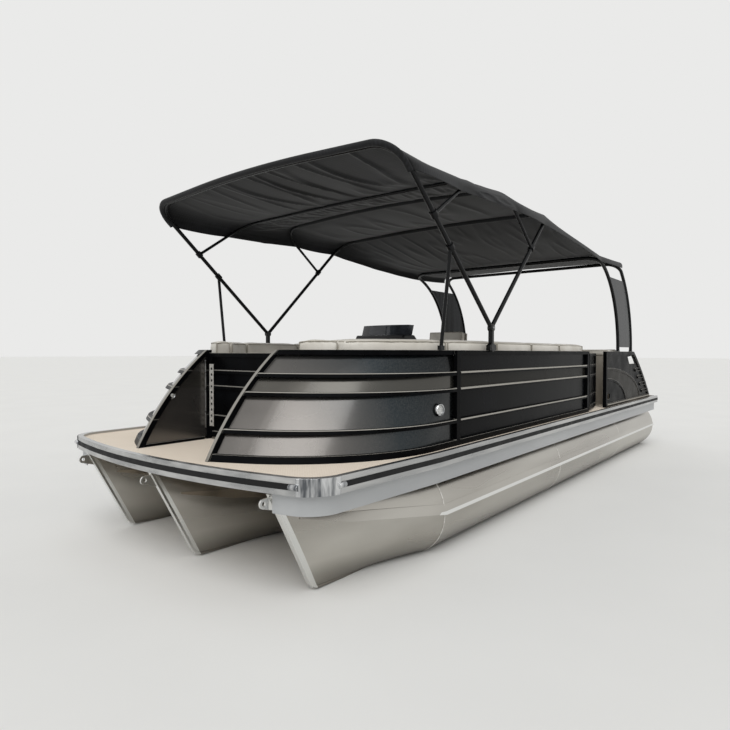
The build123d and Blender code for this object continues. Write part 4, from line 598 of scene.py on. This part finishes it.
# Foam cushions in marine vinyl: the CAD pads cut into cushions, then blown up round their seams
padSets = {
    "bowPadsPort": dict(node="bow_lounge_pads_port", body="hull", voxel=0.024, raiseFrom=1.25,
                        cuts=(-0.02, 0.66, 1.34, 2.02, 2.62)),
    "bowPadsStarboard": dict(node="bow_lounge_pads_starboard", body="hull", voxel=0.024, raiseFrom=1.25,
                             cuts=(1.34, 2.02, 2.62)),
    "sternPadsPort": dict(node="stern_lounger_pads_port", body="hull", voxel=0.022, cuts=(-2.87,)),
    "sternPadsStarboard": dict(node="stern_lounger_pads_starboard", body="hull", voxel=0.022,
                               cuts=(-2.87,)),
    "chairCushions": dict(node="chair_pads", body="helm_chair", voxel=0.016, cuts=()),
}
padding = {
    "shrink": 0.004, "cap": 0.036, "raise": 0.28, "cutGap": 0.004, "foot": 0.001,
    "pressure": 40, "quality": 4, "frames": 20, "seamAngle": 0.7, "seamStep": 0.008, "seamReach": 0.9,
    "piping": 0.0042, "pipingStep": 0.03, "pipingFoot": 0.02,
}


def islandsOf(bm):
    # Groups of connected faces, in the faces' own order so that each run gives the same mesh
    seen, groups = set(), []
    for first in bm.faces:
        if first in seen:
            continue
        seen.add(first)
        group = [first]
        for face in group:
            for other in [other for edge in face.edges for other in edge.link_faces]:
                if other not in seen:
                    seen.add(other)
                    group.append(other)
        groups.append(group)
    return groups


def cutCushions(nodeName, cuts):
    # Closed bmeshes, one for each cushion between two cross cuts
    cushions = []
    edges = [-99, *cuts, 99]  # the ends lie beyond the boat
    for low, high in zip(edges, edges[1:]):
        bm = bmesh.new()
        bm.from_mesh(nodes[nodeName].data)
        bmesh.ops.remove_doubles(bm, verts=bm.verts, dist=0.0001)
        for level, way in ((low, -1), (high, 1)):
            bmesh.ops.bisect_plane(
                bm, geom=bm.verts[:] + bm.edges[:] + bm.faces[:], clear_outer=True,
                plane_co=(level - way * padding["cutGap"], 0, 0), plane_no=(way, 0, 0),
            )
        rims = [e for e in bm.edges if e.is_boundary]
        if rims:
            bmesh.ops.edgeloop_fill(bm, edges=rims)
        bmesh.ops.recalc_face_normals(bm, faces=bm.faces)
        for group in islandsOf(bm):
            part = bmesh.new()
            made = {v: part.verts.new(v.co) for v in dict.fromkeys(v for face in group for v in face.verts)}
            for face in group:
                part.faces.new([made[v] for v in face.verts])
            cushions.append(part)
        bm.free()
    return cushions


def seamTree(bm):
    # Points along the sharp edges of a cushion, where its panels are sewn together
    bm.normal_update()
    points, ends = [], []
    for edge in bm.edges:
        if len(edge.link_faces) == 2 and edge.calc_face_angle(0) > padding["seamAngle"]:
            a, b = (v.co.copy() for v in edge.verts)
            ends.append((a, b))
            steps = max(1, int((a - b).length / padding["seamStep"]))
            points += [a.lerp(b, k / steps) for k in range(steps + 1)]
    tree = KDTree(len(points))
    for k, point in enumerate(points):
        tree.insert(point, k)
    tree.balance()
    return tree, ends


cushionJobs = []
for padName, spec in padSets.items():
    for number, bm in enumerate(cutCushions(spec["node"], spec["cuts"])):
        seams, seamEnds = seamTree(bm)
        mesh = bpy.data.meshes.new(f"{padName}Raw{number}")
        bm.to_mesh(mesh)
        bm.free()
        raw = placeObject(mesh.name, mesh)
        voxels = raw.modifiers.new("voxels", "REMESH")
        voxels.mode, voxels.voxel_size = "VOXEL", spec["voxel"]
        bpy.context.view_layer.update()
        blown = bpy.data.meshes.new_from_object(raw.evaluated_get(bpy.context.evaluated_depsgraph_get()))
        raw.modifiers.clear()
        raw.data = blown
        pinned = raw.vertex_groups.new(name="seams")
        normals = [v.normal.copy() for v in blown.vertices]
        for v, normal in zip(blown.vertices, normals):
            if seams.find(v.co)[2] < spec["voxel"] * padding["seamReach"]:
                pinned.add([v.index], 1, "REPLACE")
            v.co -= normal * padding["shrink"]
        cushionJobs.append((padName, raw, [v.co.copy() for v in blown.vertices], seamEnds))
for padName, raw, rest, seamEnds in cushionJobs:
    cushion = raw.modifiers.new("foamPressure", "CLOTH")
    cushion.settings.quality = padding["quality"]
    cushion.settings.use_pressure = True
    cushion.settings.uniform_pressure_force = padding["pressure"]
    cushion.settings.vertex_group_mass = "seams"
    cushion.settings.effector_weights.gravity = 0
for frameNumber in range(1, padding["frames"] + 1):
    scene.frame_set(frameNumber)
grown = bpy.context.evaluated_depsgraph_get()
for padName, raw, rest, seamEnds in cushionJobs:
    swollen = raw.evaluated_get(grown).data
    steps = [v.co - start for v, start in zip(swollen.vertices, rest)]
    share = min(1, padding["cap"] / max(step.length for step in steps))
    raw.modifiers.clear()
    for v, start, step in zip(raw.data.vertices, rest, steps):
        v.co = start + step * share
for padName, spec in padSets.items():
    joined = bmesh.new()
    low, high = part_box(spec["node"])
    raiseFrom = spec.get("raiseFrom", math.inf)
    piping = bpy.data.curves.new(padName + "Piping", "CURVE")
    piping.dimensions, piping.bevel_depth, piping.bevel_resolution = "3D", padding["piping"], 1
    piping.use_fill_caps, piping.resolution_u = True, 3
    for name, raw, rest, seamEnds in cushionJobs:
        if name == padName:
            mesh = raw.data
            skin = BVHTree.FromPolygons([v.co for v in mesh.vertices], [f.vertices for f in mesh.polygons])
            for a, b in seamEnds:
                length = (a - b).length
                if max(a.z, b.z) < low.z + padding["pipingFoot"] or length < padding["pipingStep"]:
                    continue
                steps = max(2, round(length / padding["pipingStep"]))
                line = piping.splines.new("NURBS")
                line.points.add(steps)
                for k in range(steps + 1):
                    onSkin = skin.find_nearest(a.lerp(b, k / steps))[0]
                    onSkin.z += max(0, onSkin.z - raiseFrom) * padding["raise"]
                    line.points[k].co = (*onSkin, 1)
                line.order_u, line.use_endpoint_u = 3, True
            joined.from_mesh(mesh)
            bpy.data.objects.remove(raw)
    welts = placeObject(padName + "Piping", piping, "pipingVinyl")
    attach(welts, spec["body"])
    for v in joined.verts:
        lift = max(0, v.co.z - raiseFrom) * padding["raise"]
        v.co.z = max(v.co.z, low.z + padding["foot"]) + lift
    mesh = bpy.data.meshes.new(padName)
    joined.to_mesh(mesh)
    joined.free()
    mesh.shade_smooth()
    pads = placeObject(padName, mesh, "marineVinyl")
    pads.modifiers.new("roundOut", "SUBSURF").levels = 1
    pads.modifiers["roundOut"].render_levels = 1
    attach(pads, spec["body"])
    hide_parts(spec["node"])
    print("cushions:", padName, len(mesh.polygons))


# Small fittings: turned and folded pieces that the camera sees on fence, bows, lamps and dash
def turnedShape(bm, profile, centre, direction, steps=32, closed=False):
    # Turned shape; profile pairs a radius with a distance along direction, closed joins its two ends
    direction = Vector(direction).normalized()
    side = direction.orthogonal().normalized()
    up = direction.cross(side)
    rings = []
    for radius, along in profile:
        middle = Vector(centre) + direction * along
        turns = [2 * math.pi * k / steps for k in range(steps)] if radius > 0 else [0]
        ring = [middle + (side * math.cos(turn) + up * math.sin(turn)) * radius for turn in turns]
        rings.append([bm.verts.new(point) for point in ring])
    for a, b in zip(rings, rings[1:] + rings[:1] if closed else rings[1:]):
        for k in range(steps):
            after = (k + 1) % steps
            corners = [a[k % len(a)], a[after % len(a)], b[after % len(b)], b[k % len(b)]]
            bm.faces.new(list(dict.fromkeys(corners)))


def plateShape(bm, low, high):
    # Rectangular plate between two corners
    made = bmesh.ops.create_cube(bm, size=1)["verts"]
    low, high = Vector(low), Vector(high)
    for v in made:
        v.co = (low + high) / 2 + Vector([c * d for c, d in zip(v.co, high - low)])


def fittedPiece(bm, name, body, materialName, rounding=0):
    # Turns a bmesh into a piece that rides on a body
    bmesh.ops.recalc_face_normals(bm, faces=bm.faces)
    mesh = bpy.data.meshes.new(name)
    bm.to_mesh(mesh)
    bm.free()
    mesh.shade_smooth()
    piece = placeObject(name, mesh, materialName)
    if rounding:
        bevel = piece.modifiers.new("rounding", "BEVEL")
        bevel.width, bevel.segments = rounding, 2
        bevel.harden_normals = True
    else:
        mesh.set_sharp_from_angle(angle=math.radians(35))
    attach(piece, body)


# Weld beads where the tubes' lengths are joined, and where the raked noses begin
weld = {"seams": (2.27, 0.19, -1.81), "tubeZ": 0.277, "radius": 0.305, "tall": 0.00245, "wide": 0.0056}
bm = bmesh.new()
for y, ahead in ((tube["tubeY"], 0), (0, tube["centreAhead"]), (-tube["tubeY"], 0)):
    for seam in weld["seams"]:
        bead = [
            (weld["radius"] + weld["tall"] * math.cos(a), weld["wide"] * math.sin(a))
            for a in [2 * math.pi * k / 8 for k in range(8)]
        ]
        turnedShape(bm, bead, (seam + ahead, y, weld["tubeZ"]), (1, 0, 0), 96, closed=True)
fittedPiece(bm, "tubeWelds", "hull", "weldedAluminium")

# Slotted hinge leaf on the gate's stile, with a plain bar beside it on the wall
leaf = {
    "faceX": 2.894, "y": (-0.336, -0.290), "z": (0.775, 1.22), "thick": 0.003, "edge": 0.014,
    "rungs": 10, "rung": 0.026, "rungSink": 0.0005, "bar": ((2.909, -0.363, 0.76), (2.915, -0.357, 1.25)),
}
bm = bmesh.new()
faceX, proudX = leaf["faceX"], leaf["faceX"] + leaf["thick"]
y0, y1 = leaf["y"]
z0, z1 = leaf["z"]
plateShape(bm, (faceX, y0, z0), (proudX, y0 + leaf["edge"], z1))
plateShape(bm, (faceX, y1 - leaf["edge"], z0), (proudX, y1, z1))
for k in range(leaf["rungs"] + 1):
    z = z0 + (z1 - z0 - leaf["rung"]) * k / leaf["rungs"]
    rungX = proudX - leaf["rungSink"]
    plateShape(bm, (faceX, y0 + leaf["edge"], z), (rungX, y1 - leaf["edge"], z + leaf["rung"]))
fittedPiece(bm, "hingeLeaf", "bow_gate", "weldedAluminium", 0.0006)
bm = bmesh.new()
plateShape(bm, *leaf["bar"])
fittedPiece(bm, "wallBar", "hull", "anodisedAluminium", 0.001)

# Courtesy lamps on the walls beside the gate, and chrome rims round the docking lamps
lampRims = {
    "wall": (3.186, 0.3628, 1.01), "wallRadius": 0.027,
    "dock": (2.235, 1.178, 0.935), "dockRadius": 0.034, "dockOut": 0.006, "dockLean": 0.10,
}
chrome, glass = bmesh.new(), bmesh.new()
for hand in (1, -1):
    x, y, z = lampRims["wall"]
    r = lampRims["wallRadius"]
    place, inward = (x, hand * y, z), (0, -hand, 0)
    rim = [(r * 0.72, 0), (r, 0), (r, 0.003), (r * 0.93, 0.007), (r * 0.8, 0.008), (r * 0.72, 0.005)]
    turnedShape(chrome, rim, place, inward, closed=True)
    dome = [(0, 0.001), (r * 0.72, 0.001), (r * 0.7, 0.005), (r * 0.4, 0.0085), (0, 0.0095)]
    turnedShape(glass, dome, place, inward)
    x, y, z = lampRims["dock"]
    inner, outer = lampRims["dockRadius"] + 0.0005, lampRims["dockRadius"] + 0.009
    rim = [(inner, -0.004), (outer, -0.004), (outer - 0.001, 0.004), (outer - 0.005, 0.009), (inner, 0.009)]
    place, outward = (x, hand * (y + lampRims["dockOut"]), z), (lampRims["dockLean"], hand, 0)
    turnedShape(chrome, rim, place, outward, closed=True)
fittedPiece(chrome, "lampRims", "hull", "polishedStainless")
fittedPiece(glass, "courtesyLenses", "hull", "polycarbonateLens")

# Acetal knuckles with their bolts, where the bows turn on their brackets
knuckle = {
    "pivot": (1.555, 1.208, 1.487), "radius": 0.0285, "half": 0.0195, "footZ": 1.345, "footScale": 1.2,
}
plastic, bolts = bmesh.new(), bmesh.new()
for hand in (1, -1):
    x, y, z = knuckle["pivot"]
    r, half = knuckle["radius"], knuckle["half"]
    cheek = [(0, -half), (r * 0.85, -half), (r, -half * 0.8), (r, half * 0.8), (r * 0.85, half), (0, half)]
    turnedShape(plastic, cheek, (x, hand * y, z), (0, hand, 0))
    head = [(0, -0.001), (0.010, -0.001), (0.010, 0.003), (0.007, 0.0065), (0, 0.0075)]
    turnedShape(bolts, head, (x, hand * (y + half), z), (0, hand, 0), 20)
    foot = [(radius * knuckle["footScale"], along) for radius, along in cheek]
    turnedShape(plastic, foot, (x, hand * y, knuckle["footZ"]), (0, hand, 0))

# Round-head screws down the middle posts and along the fence's foot rail
screws = {
    "postX": 2.016, "y": 1.1945, "z": (0.755, 0.95, 1.11, 1.226),
    "foot": (1.6, 1.1, 0.6, 0.1, -0.4), "footZ": 0.7, "radius": 0.0055,
}
heads = [(screws["postX"], z) for z in screws["z"]] + [(x, screws["footZ"]) for x in screws["foot"]]
r = screws["radius"]
screwHead = [(0, -0.004), (r, -0.004), (r, 0.0008), (r * 0.6, 0.0026), (0, 0.003)]
for hand in (1, -1):
    for x, z in heads:
        turnedShape(bolts, screwHead, (x, hand * screws["y"], z), (0, hand, 0), 14)
fittedPiece(plastic, "bowKnuckles", "hull", "mouldedAcetal")
fittedPiece(bolts, "fenceScrews", "hull", "polishedStainless")

# Two dials on the sloping dash, with rims, faces, needles and a row of switches below them
dash = {
    "foot": (-0.190, 1.300), "slope": (0.7546, 0.6562), "middleY": -0.745,
    "dials": (-0.10, 0.10), "dialAt": 0.215, "dialRadius": 0.042,
    "ticks": range(-130, 131, 26), "tickRadius": (0.0026, 0.0018), "needleTurn": 2.2,
    "switchAt": 0.10, "switches": (-0.12, -0.08, -0.04, 0.04, 0.08, 0.12),
}
run, rise = dash["slope"]
outward, upSlope, across = Vector((-rise, 0, run)), Vector((run, 0, rise)), Vector((0, 1, 0))
rims, faces, marks, keys = bmesh.new(), bmesh.new(), bmesh.new(), bmesh.new()


def onDash(up, off):
    footX, footZ = dash["foot"]
    return Vector((footX + run * up, dash["middleY"] + off, footZ + rise * up))


r = dash["dialRadius"]
for off in dash["dials"]:
    middle = onDash(dash["dialAt"], off)
    rim = [(r * 0.88, -0.002), (r, -0.002), (r, 0.006), (r * 0.94, 0.009), (r * 0.88, 0.005)]
    turnedShape(rims, rim, middle, outward, closed=True)
    turnedShape(faces, [(0, -0.002), (r * 0.88, -0.002), (r * 0.88, 0.003), (0, 0.003)], middle, outward)
    for k, degrees in enumerate(dash["ticks"]):
        turn = math.radians(degrees)
        ray = upSlope * math.cos(turn) + across * math.sin(turn)
        size = dash["tickRadius"][k % 2]
        tick = [(0, 0.0028), (size, 0.0028), (size, 0.0036), (0, 0.0036)]
        turnedShape(marks, tick, middle + ray * r * 0.72, outward, 8)
    ray = upSlope * math.cos(dash["needleTurn"]) + across * math.sin(dash["needleTurn"])
    corners = [middle + outward * 0.0045 + ray * a * r + ray.cross(outward) * b for a, b in
               ((-0.1, 0.0015), (-0.1, -0.0015), (0.62, -0.0005), (0.62, 0.0005))]
    needle = [[marks.verts.new(c + outward * lift) for c in corners] for lift in (0, 0.0008)]
    marks.faces.new(needle[0])
    marks.faces.new(needle[1])
    for k in range(4):
        marks.faces.new((needle[0][k], needle[0][(k + 1) % 4], needle[1][(k + 1) % 4], needle[1][k]))
for off in dash["switches"]:
    knob = [(0, -0.002), (0.012, -0.002), (0.012, 0.003), (0.008, 0.004), (0.007, 0.011), (0, 0.012)]
    turnedShape(keys, knob, onDash(dash["switchAt"], off), outward, 20)
fittedPiece(rims, "dialRims", "hull", "polishedStainless")
fittedPiece(faces, "dialFaces", "hull", "mouldedAcetal")
fittedPiece(marks, "dialMarks", "hull", "anodisedAluminium")
fittedPiece(keys, "dashSwitches", "hull", "mouldedAcetal")

# Outboard's moulded hood, closed over the engine: rounded everywhere, split line above the pan
hood = {
    # Sections: height, front, aft, half width and corner
    "sections": ((0.760, -3.985, -4.500, 0.170, 0.060), (0.890, -3.965, -4.560, 0.215, 0.090),
                 (1.180, -3.975, -4.540, 0.205, 0.095), (1.300, -4.035, -4.450, 0.135, 0.070)),
    "proud": 0.004, "split": 0.935, "splitHalf": 0.004, "splitProud": 0.001, "around": 16, "rows": 26,
    "dome": ((0.93, 0.006), (0.75, 0.011), (0.45, 0.014), (0.12, 0.015)), "sharp": 40,
    "trimZ": (0.948, 0.954), "trimProud": (0.0035, 0.0055),
    "louvres": (1.075, 1.101, 1.127, 1.153), "louvreHalf": (0.085, 0.006), "louvreOut": (0.0085, 0.01),
}


def hoodSection(z):
    # Values of the hood's section at a height, on a smooth curve through the named sections
    table = hood["sections"]
    k = next(n for n in range(len(table) - 1) if z <= table[n + 1][0] + 1e-9)
    low, high = table[k], table[k + 1]
    before, after = table[max(k - 1, 0)], table[min(k + 2, len(table) - 1)]
    t, span = (z - low[0]) / (high[0] - low[0]), high[0] - low[0]
    values = []
    for n in range(1, 5):
        leave = (high[n] - before[n]) / (high[0] - before[0]) * span
        arrive = (after[n] - low[n]) / (after[0] - low[0]) * span
        values.append(
            low[n] * (2 * t**3 - 3 * t**2 + 1) + leave * (t**3 - 2 * t**2 + t)
            + high[n] * (3 * t**2 - 2 * t**3) + arrive * (t**3 - t**2)
        )
    return values


def hoodRing(z, proud, share=1, lift=0):
    # Rounded rectangle round the hood at a height, drawn in by share and lifted for the dome
    front, aft, half, corner = hoodSection(z)
    middleX, reachX = (front + aft) / 2, (front - aft) / 2 + proud
    half, corner = half + proud, corner + proud
    ring = []
    for sideX, sideY, first in ((1, 1, 0), (-1, 1, 90), (-1, -1, 180), (1, -1, 270)):
        for k in range(hood["around"]):
            turn = math.radians(first + 90 * k / (hood["around"] - 1))
            x = sideX * (reachX - corner) + corner * math.cos(turn)
            y = sideY * (half - corner) + corner * math.sin(turn)
            ring.append(Vector((middleX + x * share, y * share, z + lift)))
    return ring


low, high = hood["sections"][0][0], hood["sections"][-1][0]
proud, split, half = hood["proud"], hood["split"], hood["splitHalf"]
levels = [(low + (high - low) * k / hood["rows"], proud) for k in range(hood["rows"] + 1)]
levels = [level for level in levels if abs(level[0] - split) > half * 2]
levels += [(split - half, proud), (split - half, hood["splitProud"])]
levels += [(split + half, hood["splitProud"]), (split + half, proud)]
levels.sort(key=lambda level: (level[0], level[1] if level[0] > split else -level[1]))
hoodRows = [hoodRing(low, -0.02)] + [hoodRing(*level) for level in levels]
hoodRows += [hoodRing(high, proud, share, lift) for share, lift in hood["dome"]]
ringCount = 4 * hood["around"]
lastRing = (len(hoodRows) - 1) * ringCount
hoodFaces = gridFaces(len(hoodRows), ringCount, closed=True)
hoodFaces += [tuple(reversed(range(ringCount))), tuple(range(lastRing, lastRing + ringCount))]
motorHood = meshPiece("motorHood", [p for ring in hoodRows for p in ring], hoodFaces, "lacqueredCowl")
motorHood.data.set_sharp_from_angle(angle=math.radians(hood["sharp"]))
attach(motorHood, "motor")

# Air intake louvres on the hood's aft top, and a bright trim line over the split
bm = bmesh.new()
out, into = hood["louvreOut"]
halfY, halfZ = hood["louvreHalf"]
for z in hood["louvres"]:
    aft = hoodSection(z)[1]
    plateShape(bm, (aft - out, -halfY, z - halfZ), (aft + into, halfY, z + halfZ))
fittedPiece(bm, "hoodLouvres", "motor", "mouldedAcetal", 0.003)
(low, high), (inner, outer) = hood["trimZ"], hood["trimProud"]
trimRows = [hoodRing(*level) for level in ((low, inner), (low, outer), (high, outer), (high, inner))]
trimFaces = gridFaces(len(trimRows), ringCount, closed=True)
hoodTrim = meshPiece("hoodTrim", [p for ring in trimRows for p in ring], trimFaces, "brushedStainless")
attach(hoodTrim, "motor")
print("fittings made")

# Floor at the water's surface, pale; soft key light off the port bow, even light from the rest
studio = {
    "floorReach": 150, "paper": ("#e6e6e4", "#ececea"), "patchMm": 909.09, "backdrop": "#eaeae9",
    "worldStrength": 0.66, "keyStrength": 1.6, "keyAngle": 50, "keyFrom": (2.0, 1.2, 2.7),
}
reach = studio["floorReach"]
corners = [(-reach, -reach, 0), (reach, -reach, 0), (reach, reach, 0), (-reach, reach, 0)]
tree, shader, place = startMaterial("paleStudioPaper", Metallic=0, Roughness=0.95, Specular_IOR_Level=0.1)
fibres = addNode(tree, "TexNoise", {"Vector": place, "Scale": 1000 / studio["patchMm"], "Detail": 3})
pale, paler = studio["paper"]
colour = addNode(tree, "Mix", {0: fibres, 6: pale, 7: paler}, **twoColours)
tree.links.new(colour, shader.inputs["Base Color"])
meshPiece("studioFloor", corners, [(0, 1, 2, 3)], "paleStudioPaper", smooth=False)

world = bpy.data.worlds.new("studioWorld")
scene.world = world
world.use_nodes = True
tree = world.node_tree
backdrop = tree.nodes["Background"]
backdrop.inputs["Color"].default_value = srgb(studio["backdrop"])
kinds = ("Camera", "Glossy", "Transmission")
rays = [addNode(tree, "LightPath", out=f"Is {kind} Ray") for kind in kinds]
seen = addNode(tree, "Math", (rays[0], rays[1]), operation="MAXIMUM")
seen = addNode(tree, "Math", (seen, rays[2]), operation="MAXIMUM")
strength = addNode(tree, "MapRange", {0: seen, 3: studio["worldStrength"], 4: 1})
tree.links.new(strength, backdrop.inputs["Strength"])

keyLamp = bpy.data.lights.new("keyLamp", "SUN")
keyLamp.energy = studio["keyStrength"]
keyLamp.angle = math.radians(studio["keyAngle"])
keyObject = placeObject("keyLamp", keyLamp)
keyObject.rotation_mode = "QUATERNION"
keyObject.rotation_quaternion = (-Vector(studio["keyFrom"])).to_track_quat("-Z", "Y")
print("studio ready")
